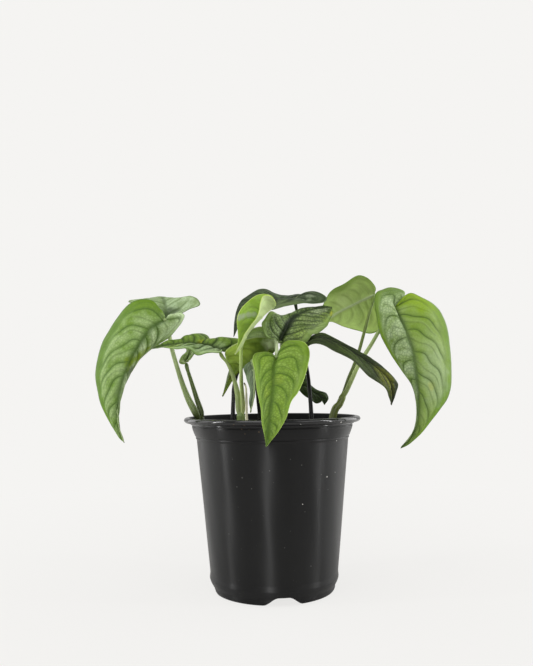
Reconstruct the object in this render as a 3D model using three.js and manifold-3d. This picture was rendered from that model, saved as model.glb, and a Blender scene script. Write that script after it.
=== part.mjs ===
// A climbing aroid with silvery heart-shaped leaves, growing in a black plastic nursery pot.
// Millimetres, +Z up, origin under the middle of the pot, on the surface that it stands on.
// The pot's front, where one of its four drain arches shows, faces -Y.
import * as THREE from "three";
import { mergeVertices } from "three/addons/utils/BufferGeometryUtils.js";
import Module from "manifold-3d";

const wasm = await Module();
wasm.setup();

// Driving dimensions of the pot
const potHeight = 162;
const rimRadius = 82.5;
const wallTopRadius = 70.8;
const wallTopHeight = 142;
const wallFootRadius = 59.9;
const wallFootHeight = 18;
const wallThickness = 1.5;
const footRadius = 54;
const footWidth = 3;
const floorUnderside = 8;
const potSides = 40;

// Drain arches cut in the foot, and the holes in the floor above them
const archCount = 4;
const firstArchTurn = THREE.MathUtils.degToRad(-82.3);
const archWidth = 38;
const archFlat = 9;
const archHeight = 7.5;
const drainHoleRadius = 4.5;
const drainHoleReach = 38;

// Soil
const soilHeight = 148;
const soilRelief = 1.6;
const soilSides = 32;

// Leaves
const bladeThickness = 0.8;
const bladeRows = 12;
const bladeColumns = 3;
const basalFan = 0.16; // share of the margin whose side veins all start at the junction
const veinSweep = 1.5; // how far the side veins lean towards the tip
const stalkSides = 7;
const stalkSteps = 9;
const knuckleSwelling = 0.6;
const clearance = 0.3; // between any two pieces that touch

const black = new THREE.MeshStandardMaterial({ color: 0x232224, roughness: 0.42, metalness: 0 });
const earth = new THREE.MeshStandardMaterial({ color: 0x2e2219, roughness: 0.95, metalness: 0 });
const lightStem = new THREE.MeshStandardMaterial({ color: 0x8fa963, roughness: 0.5, metalness: 0 });
const darkStem = new THREE.MeshStandardMaterial({ color: 0x55602f, roughness: 0.5, metalness: 0 });
const dried = new THREE.MeshStandardMaterial({ color: 0xc9bd96, roughness: 0.8, metalness: 0 });
const leafColours = {
  silver: 0x6f9a4e,
  grey: 0x8fa58a,
  fresh: 0x8cb84a,
  bright: 0x6fa53c,
  deep: 0x3f6d35,
  dusky: 0x25331f,
  olive: 0x6b7c2f,
};

// Stems that carry leaves: a path from the soil up, and the radius at its foot and at its top
const stems = {
  left_stem: { path: [[-61, 5, 130], [-70, 5, 165.5]], radius: [4.8, 4.6], material: darkStem },
  centre_stem: { path: [[-28, -10, 130], [-29, -10, 168.5]], radius: [4.2, 3.9], material: lightStem },
  right_stem: {
    path: [[51.5, 0, 130], [58.5, 0, 164], [64.5, 0, 174.5], [69.2, 1, 184.5]],
    radius: [4.7, 4.2],
    material: darkStem,
  },
};
const driedSheath = {
  path: [[-22.5, -16, 130], [-23, -16, 162], [-23.5, -16, 177.5], [-24, -16, 188.5], [-25, -16, 193.5]],
  radius: [1.9, 0.4],
};

// Guide curves of each leaf, chosen by hand. The petiole runs up to the junction, its last point.
// From there the midrib and both margins run to the tip, the midrib's last point. The left margin
// is on the left of someone who looks at the upper face of the leaf with its tip hanging down.
// The arch is how far each half rises between midrib and margin, as a share of its width.
const leaves = {
  big_left: {
    petiole: [
      [-71.5, -1, 165.5], [-78.5, 0, 179], [-85, 6, 194.5], [-91, 12, 212], [-96, 16, 229],
      [-98.5, 12, 247], [-99.5, 0, 253.5],
    ],
    midrib: [
      [-111.5, -5, 246], [-121.5, -11, 231], [-129.5, -16, 216], [-136, -20, 197.5],
      [-140, -22, 177.5], [-140, -21, 157.5], [-135.5, -19, 140],
    ],
    left: [
      [-104.5, 4, 262.5], [-112.5, 8, 272.5], [-128, 12, 273.5], [-143.5, 12, 262.5],
      [-158, 4, 236], [-164.5, -5, 203.5], [-161, -10, 184], [-154, -14, 168.5],
      [-141.5, -18, 146.5],
    ],
    right: [
      [-94, 4, 257], [-88.5, 7, 261], [-82, 10, 259], [-86, 11, 250.5], [-97.5, 11, 239],
      [-114, 12, 227.5], [-127, 10, 215], [-135, 6, 204.5], [-142, 0, 190], [-143.5, -8, 173.5],
      [-143, -14, 156],
    ],
    petioleRadius: [2.5, 1.7],
    arch: [0.12, 0.12],
  },
  back_left: {
    petiole: [
      [-71.5, 10.5, 163.5], [-79.5, 15, 178], [-85.5, 18, 194.5], [-91.5, 20, 213],
      [-95.5, 22, 227.5], [-99, 24, 246], [-100.5, 24, 256.5],
    ],
    midrib: [
      [-104.5, 40, 269.5], [-108.5, 55, 280], [-113, 71, 285.5], [-120, 86, 283], [-128, 95, 276],
    ],
    left: [
      [-94.5, 18, 256.5], [-86.5, 17, 261], [-77.5, 17, 265], [-69, 22, 269.5], [-72, 36, 277.5],
      [-81.5, 52, 282], [-93, 66, 281], [-105, 78, 279],
    ],
    right: [
      [-106, 18, 258], [-116.5, 17, 267], [-129, 18, 271.5], [-137.5, 24, 273.5], [-140, 40, 278],
      [-135, 56, 279], [-129, 77, 279.5],
    ],
    petioleRadius: [1.7, 1.2],
    arch: [0.03, 0.03],
  },
  wavy_left: {
    petiole: [
      [-30.5, -10, 168.5], [-31.5, -13, 182.5], [-35, -16, 198], [-40, -18, 211],
      [-45, -17, 217.5], [-48, -15, 223.5],
    ],
    midrib: [
      [-60.5, -18, 228.5], [-76, -20, 230], [-92.5, -21, 228.5], [-108.5, -22, 226],
    ],
    left: [
      [-43, -10, 228], [-33, -8, 226], [-29, -3, 233], [-42.5, 5, 237.5], [-56, 8, 233.5],
      [-62, 8, 238.5], [-70, 8, 241], [-78.5, 5, 239.5], [-84.5, 0, 235], [-96, -9, 233],
    ],
    right: [
      [-44.5, -23, 223.5], [-47, -30, 221], [-57.5, -36, 219.5], [-66, -37, 219], [-73, -34, 224],
      [-84, -30, 224], [-94.5, -26, 226.5],
    ],
    petioleRadius: [1.9, 1.3],
    arch: [0.1, 0.1],
  },
  hidden_left: {
    petiole: [
      [-67, 5, 165.5], [-71.5, 7, 179.5], [-77, 10, 197], [-81, 13, 209.5], [-81, 14, 215.5],
    ],
    midrib: [
      [-79.5, 30, 226], [-78.5, 50, 234], [-78, 72, 238.5], [-76.5, 92, 235.5],
    ],
    left: [
      [-77.5, 8, 216], [-73.5, 7, 221], [-69, 15, 225], [-62, 34, 230], [-61, 60, 236],
      [-68, 80, 236.5],
    ],
    right: [
      [-82, 10, 212.5], [-86, 8, 212.5], [-87.5, 8, 215], [-85.5, 11, 220], [-82, 17, 224.5],
      [-85.5, 34, 230.5], [-89.5, 56, 236], [-86, 78, 238],
    ],
    petioleRadius: [2.2, 1.5],
    arch: [0.08, 0.08],
  },
  young_arched: {
    petiole: [
      [-27, -12, 168.5], [-27, -17, 179.5], [-27.5, -24, 191.5], [-27.5, -31, 205],
      [-27, -33, 223.5], [-23, -31, 240.5], [-14.5, -29, 255], [-5.5, -30, 262.5],
      [1.5, -38, 260.5],
    ],
    midrib: [
      [-4.5, -42, 255.5], [-10.5, -45, 249], [-17, -47, 241.5], [-22, -48.5, 234.5],
      [-26, -49, 226], [-32.5, -50, 218],
    ],
    left: [
      [3, -36, 265.5], [0.5, -35, 270.5], [-6.5, -36, 272], [-13.5, -37, 270], [-21.5, -39, 264],
      [-27, -41, 258], [-30, -43, 249.5], [-29, -45, 238.5], [-29, -48, 229.5],
    ],
    right: [
      [4.5, -44, 261], [3, -50, 265.5], [-1.5, -54, 268.5], [-7, -57, 267.5], [-9, -58.5, 261.5],
      [-10, -59, 254.5], [-13, -59, 248], [-18, -58.5, 242.5], [-23.5, -57, 235],
      [-27.5, -54.5, 226.5],
    ],
    petioleRadius: [1.8, 1.2],
    arch: [0.1, -0.05],
  },
  folded_centre: {
    petiole: [
      [-37, 4, 130], [-37, 4, 161.5], [-36.5, 5, 177.5], [-35.5, 6, 191.5], [-30, 5, 207.5],
      [-17, 1, 221.5], [-8.5, -6, 224], [-2, -16, 223],
    ],
    midrib: [
      [-12, -18, 218.5], [-20.5, -17, 212.5], [-28, -13, 207], [-35.5, -8, 199], [-46.5, -4, 181],
    ],
    left: [
      [0, -9, 228.5], [-1.5, -5, 236], [-3, -1, 242], [-9.5, 2, 246.5], [-20.5, 4, 243.5],
      [-29.5, 5, 234], [-37, 3, 219], [-41, 0, 200],
    ],
    right: [
      [0, -17, 219.5], [3.5, -15, 223], [5, -15, 229], [1.5, -18, 234], [-5, -24, 234],
      [-14, -28, 234], [-24, -27, 232], [-37, -20, 226.5], [-43, -15, 221], [-41, -11, 212.5],
      [-38.5, -9, 203],
    ],
    petioleRadius: [2.2, 1.3],
    arch: [0.06, -0.06],
  },
  mottled_centre: {
    petiole: [
      [2.5, 4, 130], [4.5, -3, 167.5], [8.5, -13, 191], [11.5, -24, 213.5], [9, -31, 226],
      [7.5, -34, 229.5],
    ],
    midrib: [
      [12, -27, 239.5], [18.5, -19, 251], [30, -9, 258.5], [45, 4, 263], [59.5, 16, 266],
    ],
    left: [
      [13, -41, 225.5], [21.5, -42, 224], [31, -36, 228.5], [36.5, -28, 235.5], [44.5, -20, 239],
      [53.5, -6, 247.5], [58.5, 8, 258.5],
    ],
    right: [
      [2, -43, 231.5], [-5, -42, 234], [-8.5, -36, 244], [-5.5, -31, 250.5], [0, -25, 258],
      [7.5, -14, 254.5], [22, -2, 260], [38.5, 6, 265], [50, 12, 266.5],
    ],
    petioleRadius: [1.9, 1.3],
    arch: [0.1, 0.08],
  },
  front_bright: {
    petiole: [
      [-7, -6, 130], [-3.5, -8, 172.5], [1, -10, 191], [4.5, -13, 209.5], [4.5, -19, 224],
      [4, -29, 232], [4.5, -38, 229], [4.5, -47, 221.5], [4.5, -52, 215],
    ],
    midrib: [
      [1.5, -63, 205.5], [0.5, -77, 187.5], [-1.5, -86, 173.5], [-3.5, -92, 157], [-6, -94, 140.5],
    ],
    left: [
      [-0.5, -49, 218.5], [-6.5, -46, 220], [-14, -45, 218.5], [-16.5, -49, 213], [-15, -58, 203],
      [-13, -68, 190], [-11, -79, 177], [-9, -87, 162.5], [-7, -91.5, 150.5],
    ],
    right: [
      [6.5, -48, 221], [11, -43, 228], [18, -41, 230.5], [28, -42, 228.5], [32.5, -47, 221],
      [31.5, -56, 209.5], [27.5, -65, 196.5], [21, -74, 184.5], [15, -80, 176.5], [11, -87, 163.5],
      [4.5, -91.5, 153.5], [-2, -93.5, 145.5],
    ],
    petioleRadius: [1.9, 1.4],
    arch: [0.1, 0.1],
  },
  hanging_grey: {
    petiole: [
      [-10, 8, 130], [-11.5, 6, 161], [-13, 3, 177], [-14, -1, 191.5], [-15.5, -8, 204.5],
      [-16.5, -18, 211], [-17, -27, 213],
    ],
    midrib: [
      [-15.5, -33, 203], [-14.5, -37, 191], [-14.5, -38, 181.5], [-18, -36, 166.5],
    ],
    left: [
      [-19, -24, 212.5], [-22, -24, 210], [-25, -27, 205.5], [-23, -31, 198], [-20, -34, 190.5],
      [-19, -36, 179],
    ],
    right: [
      [-14.5, -23, 213], [-15.5, -18, 208], [-16, -19, 199.5], [-16, -25, 190.5],
      [-16, -31, 178.5],
    ],
    petioleRadius: [2.1, 1.3],
    arch: [0.08, 0.08],
  },
  pale_right: {
    petiole: [
      [68.2, 3.5, 183], [73.5, 6.5, 197], [78.5, 9, 208], [84, 10, 223], [89.5, 11, 241.5],
      [94.5, 13, 259], [98.5, 17, 270], [100.5, 22, 277.5],
    ],
    midrib: [
      [89.5, 25, 273], [79, 27, 268], [66, 26, 261.5], [55, 22, 254.5], [45.5, 17, 249.5],
    ],
    left: [
      [110, 30, 273.5], [116.5, 35, 262], [113.5, 37, 248.5], [100.5, 36, 241.5], [86.5, 34, 244],
      [72, 31, 247.5], [60, 25, 252.5], [51.5, 20, 250],
    ],
    right: [
      [101.5, 17, 283.5], [96, 14, 291], [87, 12, 294.5], [79, 12, 292.5], [69, 14, 287],
      [60, 16, 281.5], [54.5, 17, 275], [48.5, 17, 264],
    ],
    petioleRadius: [1.8, 1.3],
    arch: [0.1, 0.1],
  },
  dark_right: {
    petiole: [
      [8, -8, 130], [10, -8, 172.5], [16, -11, 191], [22.5, -17, 209], [26.5, -23, 220.5],
      [28.5, -27, 225],
    ],
    midrib: [
      [41.5, -33, 232], [56, -40, 226.5], [73, -46, 216.5], [89, -50, 206], [102, -52, 192],
      [104, -50, 172],
    ],
    left: [
      [29, -34, 222], [34.5, -45, 225.5], [43.5, -52, 225.5], [55, -58, 219], [68.5, -63, 210.5],
      [82.5, -64, 197.5], [95.5, -60, 188], [100.5, -55, 179.5],
    ],
    right: [
      [29, -22, 230.5], [36.5, -17, 235], [46.5, -17, 238.5], [60, -25, 230.5],
      [77.5, -32, 219.5], [92, -37, 209.5], [104, -41, 199.5], [110.5, -45, 191.5],
      [108, -48, 183],
    ],
    petioleRadius: [1.9, 1.4],
    arch: [0.12, 0.12],
  },
  big_right: {
    petiole: [
      [69.2, -1, 183], [76, -3, 197.5], [82, -2, 209.5], [94, 2, 227.5], [103, 5, 242],
      [111, 6, 255], [114, 3, 259.5], [115, -2, 262],
    ],
    midrib: [
      [119, -10, 252.5], [124, -18, 237.5], [128.5, -24, 218], [130.5, -29, 194],
      [131, -32, 171.5], [127.5, -33, 150], [114.5, -31, 132.5],
    ],
    left: [
      [120, 4, 266.5], [126.5, 10, 273], [129, 14, 279], [123, 17, 282.5], [115, 16, 283],
      [108, 14, 281], [101, 10, 277.5], [98, 4, 268.5], [99, -1, 254.5], [101, -5, 240.5],
      [109, -10, 222], [118.5, -16, 204], [126, -22, 190.5], [129.5, -28, 176], [129, -32, 160],
      [124, -33, 144.5],
    ],
    right: [
      [119.5, -4, 266.5], [125.5, 0, 273], [133, 4, 276.5], [142, 6, 273.5], [154.5, 6, 265.5],
      [163.5, 2, 250.5], [167, -5, 227], [165.5, -14, 201], [160.5, -22, 179.5],
      [151.5, -27, 167], [137, -32, 150.5], [123, -33, 137.5],
    ],
    petioleRadius: [2.1, 1.6],
    arch: [0.12, 0.12],
  },
  small_curled: {
    petiole: [
      [10.5, 15, 130], [14.5, 19, 169], [20, 26, 181], [25.5, 34, 189],
    ],
    midrib: [
      [33, 31, 190], [40.5, 28, 184], [47, 26, 179.5], [52, 25, 171.5],
    ],
    left: [
      [25.5, 29, 187.5], [29, 24, 183.5], [35.5, 20, 178], [42.5, 19, 173.5], [47.5, 21, 174],
      [49.5, 22.5, 176.5],
    ],
    right: [
      [25.5, 39, 194], [30, 42, 198.5], [35.5, 43, 199.5], [41, 41, 190.5], [47, 37, 184],
      [54.5, 32, 183], [56, 28, 178],
    ],
    petioleRadius: [1.5, 1.1],
    arch: [0.1, 0.1],
  },
  back_dark: {
    petiole: [
      [37, 10, 130], [37.5, 10, 160], [36.5, 11, 181], [35, 13, 200.5], [31.5, 16, 222.5],
      [27.5, 18, 249], [25, 17, 264], [23, 15.5, 274],
    ],
    midrib: [
      [7, 13, 273], [-8, 9, 273.5], [-21.5, 5, 267.5], [-30, 2, 255], [-35.5, 0, 237],
    ],
    left: [
      [27.5, 22, 274], [34.5, 28, 277.5], [40.5, 32, 278.5], [35.5, 37, 281], [24.5, 37, 280],
      [13.5, 35, 280.5], [3, 32, 282], [-4.5, 27, 284.5], [-13.5, 22, 283], [-23.5, 14, 276.5],
      [-29.5, 9, 270], [-34, 4, 253],
    ],
    right: [
      [26.5, 14, 276], [32.5, 13, 279.5], [41, 11, 280.5], [48.5, 9, 278], [53.5, 7, 273],
      [50, 3, 268], [41.5, 0, 267], [32, -3, 268], [22.5, -6, 266.5], [13, -7, 264], [3, -7, 261],
      [-7, -6, 260.5], [-17, -4, 260], [-25, -2, 255], [-31, -1, 245],
    ],
    petioleRadius: [2.2, 1.3],
    arch: [0.05, 0.05],
  },
};

const carriedBy = {
  big_left: "left_stem",
  hidden_left: "left_stem",
  back_left: "left_stem",
  wavy_left: "centre_stem",
  young_arched: "centre_stem",
  pale_right: "right_stem",
  big_right: "right_stem",
};
const leafColour = {
  big_left: "silver",
  back_left: "grey",
  wavy_left: "deep",
  hidden_left: "deep",
  young_arched: "fresh",
  folded_centre: "olive",
  mottled_centre: "deep",
  front_bright: "bright",
  hanging_grey: "grey",
  pale_right: "bright",
  dark_right: "dusky",
  big_right: "silver",
  small_curled: "deep",
  back_dark: "deep",
};

const vector = (p) => new THREE.Vector3(...p);

// Points along a smooth curve through the given ones, at the given shares of its length
function along(points, shares) {
  const curve = new THREE.CatmullRomCurve3(points.map(vector), false, "catmullrom", 0.5);
  return shares.map((share) => curve.getPointAt(share));
}

// A closed solid from a geometry, with its vertices merged and collapsed faces left out
function solidOf(geometry) {
  const bare = geometry.clone();
  bare.deleteAttribute("normal");
  bare.deleteAttribute("uv");
  const merged = mergeVertices(bare, 1e-4);
  const source = merged.index.array;
  const faces = [];
  for (let i = 0; i < source.length; i += 3) {
    const [a, b, c] = source.slice(i, i + 3);
    if (a !== b && b !== c && c !== a) faces.push(a, b, c);
  }
  return new wasm.Manifold(
    new wasm.Mesh({
      numProp: 3,
      vertProperties: new Float32Array(merged.attributes.position.array),
      triVerts: new Uint32Array(faces),
    }),
  );
}

function meshOf(name, solid, material) {
  const { numProp, vertProperties, triVerts } = solid.getMesh();
  const positions = new Float32Array((vertProperties.length / numProp) * 3);
  for (let i = 0; i < positions.length / 3; i++) {
    positions.set(vertProperties.subarray(i * numProp, i * numProp + 3), i * 3);
  }
  const geometry = new THREE.BufferGeometry();
  geometry.setAttribute("position", new THREE.BufferAttribute(positions, 3));
  geometry.setIndex(new THREE.BufferAttribute(new Uint32Array(triVerts), 1));
  geometry.computeVertexNormals();
  const mesh = new THREE.Mesh(geometry, material);
  mesh.name = name;
  return mesh;
}

// A body of revolution about Z from [radius, height] points
function turned(profile, sides) {
  const points = profile.map(([radius, height]) => new THREE.Vector2(radius, height));
  return new THREE.LatheGeometry(points, sides).rotateX(Math.PI / 2);
}

// A round stalk along a path, thinning from the first radius to the second. The extra length
// and girth make the hole or the seat for it.
function stalk(path, [footRadius, topRadius], extra = 0) {
  const shares = Array.from({ length: stalkSteps + 1 }, (_, i) => i / stalkSteps);
  const centres = along(path, shares);
  const tangents = centres.map((centre, i) =>
    centres[Math.min(i + 1, stalkSteps)].clone().sub(centres[Math.max(i - 1, 0)]).normalize(),
  );
  centres[0].addScaledVector(tangents[0], -extra);
  centres[stalkSteps].addScaledVector(tangents[stalkSteps], extra);
  const positions = [];
  let across = new THREE.Vector3(1, 0, 0);
  centres.forEach((centre, i) => {
    across.addScaledVector(tangents[i], -across.dot(tangents[i])).normalize();
    const up = tangents[i].clone().cross(across);
    const radius = THREE.MathUtils.lerp(footRadius, topRadius, shares[i]) + extra;
    for (let side = 0; side < stalkSides; side++) {
      const turn = (2 * Math.PI * side) / stalkSides;
      const rim = centre.clone().addScaledVector(across, radius * Math.cos(turn));
      positions.push(...rim.addScaledVector(up, radius * Math.sin(turn)).toArray());
    }
  });
  const faces = [];
  for (let i = 0; i < stalkSteps; i++) {
    for (let side = 0; side < stalkSides; side++) {
      const next = (side + 1) % stalkSides;
      const low = i * stalkSides;
      const high = low + stalkSides;
      faces.push(low + side, low + next, high + next, low + side, high + next, high + side);
    }
  }
  const last = stalkSteps * stalkSides;
  for (let side = 1; side < stalkSides - 1; side++) {
    faces.push(0, side + 1, side);
    faces.push(last, last + side, last + side + 1);
  }
  const geometry = new THREE.BufferGeometry();
  geometry.setAttribute("position", new THREE.Float32BufferAttribute(positions, 3));
  geometry.setIndex(faces);
  return solidOf(geometry);
}

// The middle sheet of a blade: each half is a net of lines from the midrib out to the margin
function bladeSheet(leaf) {
  const shares = Array.from({ length: bladeRows + 1 }, (_, i) => i / bladeRows);
  const junction = leaf.petiole.at(-1);
  const tip = leaf.midrib.at(-1);
  const ribShares = shares.map((s) => Math.max(0, (s - basalFan) / (1 - basalFan)) ** veinSweep);
  const rib = along([junction, ...leaf.midrib], ribShares);
  const positions = [];
  const faces = [];
  const numbers = new Map();
  const vertex = (key, point) => {
    if (!numbers.has(key)) {
      numbers.set(key, positions.length / 3);
      positions.push(...point.toArray());
    }
    return numbers.get(key);
  };
  const rims = ["left", "right"].map((half, h) => {
    const margin = along([junction, ...leaf[half], tip], shares);
    const rises = margin.map((edge, i) => {
      const onward = margin[Math.min(i + 1, bladeRows)].clone().sub(margin[Math.max(i - 1, 0)]);
      const outward = edge.clone().sub(rib[i]);
      const rise = outward.cross(onward).normalize();
      return half === "left" ? rise : rise.negate();
    });
    const net = margin.map((edge, i) => {
      const width = edge.distanceTo(rib[i]);
      return Array.from({ length: bladeColumns + 1 }, (_, j) => {
        if (i === 0) return vertex("junction", rib[0]);
        if (i === bladeRows) return vertex("tip", rib[bladeRows]);
        if (j === 0) return vertex(ribShares[i] === 0 ? "junction" : "rib" + i, rib[i]);
        const share = j / bladeColumns;
        const height = leaf.arch[h] * width * 4 * share * (1 - share);
        return vertex(half + i + "," + j, rib[i].clone().lerp(edge, share).addScaledVector(rises[i], height));
      });
    });
    const addFace = (a, b, c) => {
      if (a === b || b === c || c === a) return;
      faces.push(...(half === "left" ? [a, c, b] : [a, b, c]));
    };
    for (let i = 0; i < bladeRows; i++) {
      for (let j = 0; j < bladeColumns; j++) {
        addFace(net[i][j], net[i + 1][j], net[i + 1][j + 1]);
        addFace(net[i][j], net[i + 1][j + 1], net[i][j + 1]);
      }
    }
    return net.map((row) => row[bladeColumns]);
  });
  return { positions, faces, outline: [...rims[0], ...rims[1].slice(1, -1).reverse()] };
}

// A blade of even thickness: the sheet moved to either side, alike in its triangles, and a rim
function bladeSolid(leaf) {
  const { positions, faces, outline } = bladeSheet(leaf);
  const count = positions.length / 3;
  const sheet = new THREE.BufferGeometry();
  sheet.setAttribute("position", new THREE.Float32BufferAttribute(positions, 3));
  sheet.setIndex(faces);
  sheet.computeVertexNormals();
  const normals = sheet.attributes.normal.array;
  const upper = positions.map((v, i) => v + (normals[i] * bladeThickness) / 2);
  const lower = positions.map((v, i) => v - (normals[i] * bladeThickness) / 2);
  const closed = [...faces];
  for (let i = 0; i < faces.length; i += 3) {
    closed.push(faces[i] + count, faces[i + 2] + count, faces[i + 1] + count);
  }
  outline.forEach((from, i) => {
    const to = outline[(i + 1) % outline.length];
    closed.push(to, from, from + count, to, from + count, to + count);
  });
  const geometry = new THREE.BufferGeometry();
  geometry.setAttribute("position", new THREE.Float32BufferAttribute([...upper, ...lower], 3));
  geometry.setIndex(closed);
  return solidOf(geometry);
}

// The small swelling where a petiole bends into its blade
function knuckle(leaf) {
  const ball = new THREE.SphereGeometry(leaf.petioleRadius[1] + knuckleSwelling, 7, 5);
  return solidOf(ball.translate(...leaf.petiole.at(-1)));
}

function leafSolid(name) {
  const leaf = leaves[name];
  const grown = bladeSolid(leaf).add(stalk(leaf.petiole, leaf.petioleRadius)).add(knuckle(leaf));
  const stem = stems[carriedBy[name]];
  return stem ? grown.subtract(stalk(stem.path, stem.radius, clearance)) : grown;
}

// The notch that one drain arch cuts from the foot, with soft S-shaped sides
function archCutter(turn) {
  const outline = new THREE.Shape();
  const half = archWidth / 2;
  const flat = archFlat / 2;
  const middle = (half + flat) / 2;
  outline.moveTo(-half, -1);
  outline.lineTo(-half, 0);
  outline.bezierCurveTo(-middle, 0, -middle, archHeight, -flat, archHeight);
  outline.lineTo(flat, archHeight);
  outline.bezierCurveTo(middle, archHeight, middle, 0, half, 0);
  outline.lineTo(half, -1);
  const reach = 20;
  return new THREE.ExtrudeGeometry(outline, { depth: reach, bevelEnabled: false, curveSegments: 5 })
    .rotateX(Math.PI / 2)
    .rotateZ(Math.PI)
    .translate(0, footRadius - reach / 2, 0)
    .rotateZ(turn - Math.PI / 2);
}

function potSolid() {
  const floorTop = floorUnderside + wallThickness;
  const outside = [
    [footRadius - footWidth, 0],
    [footRadius, 0],
    [footRadius + 2, 0.9],
    [footRadius + 3, 3],
    [footRadius + 3.3, 6],
    [footRadius + 5.2, 9.5],
    [wallFootRadius + 0.5, 13],
    [wallFootRadius, wallFootHeight],
    [wallTopRadius, wallTopHeight],
    [wallTopRadius + 0.3, wallTopHeight + 1.2],
    [wallTopRadius + 1.5, 144.4],
    [wallTopRadius + 2.4, 147.2],
    [wallTopRadius + 3.6, 150.4],
    [wallTopRadius + 4.4, 152.2],
    [wallTopRadius + 3.8, 153],
    [wallTopRadius + 4.2, 154.7],
    [rimRadius - 5.6, 155.9],
    [rimRadius - 2.2, 156.6],
    [rimRadius - 0.6, 157.8],
    [rimRadius, 159.6],
    [rimRadius - 0.9, 161.3],
    [rimRadius - 2.9, potHeight],
  ];
  const inside = [
    [rimRadius - 5.5, potHeight - 0.5],
    [rimRadius - 6.8, potHeight - 2.2],
    [wallTopRadius + 3.4, 156],
    [wallTopRadius + 2.2, 152],
    [wallTopRadius - 0.6, 144],
    [wallTopRadius - wallThickness, wallTopHeight - 1],
    [wallFootRadius - wallThickness, wallFootHeight],
    [wallFootRadius - wallThickness, floorTop + 3],
    [wallFootRadius - 4, floorTop],
    [0, floorTop],
  ];
  const underside = [
    [0, floorUnderside],
    [footRadius - footWidth - 1, floorUnderside],
  ];
  let pot = solidOf(turned([...underside, ...outside, ...inside], potSides));
  for (let i = 0; i < archCount; i++) {
    const turn = firstArchTurn + (2 * Math.PI * i) / archCount;
    pot = pot.subtract(solidOf(archCutter(turn)));
    const hole = new THREE.CylinderGeometry(drainHoleRadius, drainHoleRadius, 6, 16)
      .rotateX(Math.PI / 2)
      .translate(drainHoleReach * Math.cos(turn), drainHoleReach * Math.sin(turn), floorTop);
    pot = pot.subtract(solidOf(hole));
  }
  return pot;
}

// Height of the loose soil's surface over its mean level
function soilLump(x, y) {
  const broad = Math.sin(0.11 * x + 0.7) * Math.cos(0.09 * y - 0.4);
  const fine = Math.sin(0.37 * x + 0.23 * y) * Math.cos(0.31 * y - 0.19 * x);
  return soilRelief * (0.6 * broad + 0.4 * fine);
}

function soilSolid() {
  const bottom = floorUnderside + wallThickness + clearance;
  const gap = wallThickness + clearance;
  const surface = [69, 60, 49, 37, 24, 11, 0].map((radius) => [radius, soilHeight]);
  const side = [
    [0, bottom],
    [wallFootRadius - 4.5, bottom],
    [wallFootRadius - gap - 0.1, bottom + 4],
    [wallFootRadius - gap, wallFootHeight],
    [wallTopRadius - gap - 0.1, wallTopHeight - 1],
    [wallTopRadius - 0.9 - clearance, 144.5],
    [wallTopRadius - 0.2, soilHeight - 1],
  ];
  const geometry = turned([...side, ...surface], soilSides);
  const { position } = geometry.attributes;
  for (let i = 0; i < position.count; i++) {
    if (position.getZ(i) < soilHeight - 0.1) continue;
    position.setZ(i, soilHeight + soilLump(position.getX(i), position.getY(i)));
  }
  let soil = solidOf(geometry);
  for (const { path, radius } of planted()) soil = soil.subtract(stalk(path, radius, clearance));
  return soil;
}

// Everything that stands in the soil: the stems, the dried sheath and the petioles with no stem
function planted() {
  const rooted = Object.keys(leaves).filter((name) => !carriedBy[name]);
  const petioles = rooted.map((name) => ({
    path: leaves[name].petiole,
    radius: leaves[name].petioleRadius,
  }));
  return [...Object.values(stems), driedSheath, ...petioles];
}

const plant = new THREE.Group();
plant.add(meshOf("pot", potSolid(), black));
plant.add(meshOf("soil", soilSolid(), earth));
for (const [name, { path, radius, material }] of Object.entries(stems)) {
  plant.add(meshOf(name, stalk(path, radius), material));
}
plant.add(meshOf("dried_sheath", stalk(driedSheath.path, driedSheath.radius), dried));
for (const name of Object.keys(leaves)) {
  const colour = leafColours[leafColour[name]];
  const material = new THREE.MeshStandardMaterial({ color: colour, roughness: 0.45, metalness: 0 });
  plant.add(meshOf("leaf_" + name, leafSolid(name), material));
}

export default plant;
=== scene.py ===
"""A young climbing aroid with silvery, heart-shaped leaves in a black nursery pot: its visible surfaces.

Sizes and places are written in millimetres, with +Z up and the pot's axis through the origin, and
they are turned into metres where a mesh is made. Each piece takes the place of one solid of the frame,
apart from the crumbs on the soil, which are added.
"""

import math
from functools import partialmethod, reduce

import bmesh
import bpy
import numpy as np
from mathutils import Matrix, Vector


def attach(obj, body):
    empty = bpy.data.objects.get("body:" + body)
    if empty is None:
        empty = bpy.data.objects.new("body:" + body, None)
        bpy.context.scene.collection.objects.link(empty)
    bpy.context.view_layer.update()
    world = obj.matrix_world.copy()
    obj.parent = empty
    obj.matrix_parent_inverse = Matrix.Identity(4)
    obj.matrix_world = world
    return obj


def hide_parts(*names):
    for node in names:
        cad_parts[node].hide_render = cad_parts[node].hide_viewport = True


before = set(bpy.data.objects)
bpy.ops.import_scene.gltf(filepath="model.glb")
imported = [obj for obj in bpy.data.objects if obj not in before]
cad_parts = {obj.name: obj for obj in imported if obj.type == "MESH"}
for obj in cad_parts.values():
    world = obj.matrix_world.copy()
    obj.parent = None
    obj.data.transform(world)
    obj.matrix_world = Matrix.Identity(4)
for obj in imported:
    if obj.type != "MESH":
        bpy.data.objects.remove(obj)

MM = 0.001
ROUND = 2 * math.pi
FIRST_SEED = 11  # of the leaves' random draws
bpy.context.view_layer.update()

# Pot
POT_HEIGHT = 162
RIM_RADIUS = 82.5
WALL_TOP_RADIUS = 70.8
WALL_TOP_HEIGHT = 142
WALL_FOOT_RADIUS = 59.9
WALL_FOOT_HEIGHT = 18
WALL_THICKNESS = 1.5
FOOT_RADIUS = 54
FOOT_WIDTH = 3
FLOOR_UNDERSIDE = 8
FLOOR_TOP = FLOOR_UNDERSIDE + WALL_THICKNESS
CORNER_ROUNDING = 0.9
CORNER_SHARE = 0.45  # the most that the rounding of a corner takes of each side
WALL_ROW = 6  # the longest step down a wall between two rows of points
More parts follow.
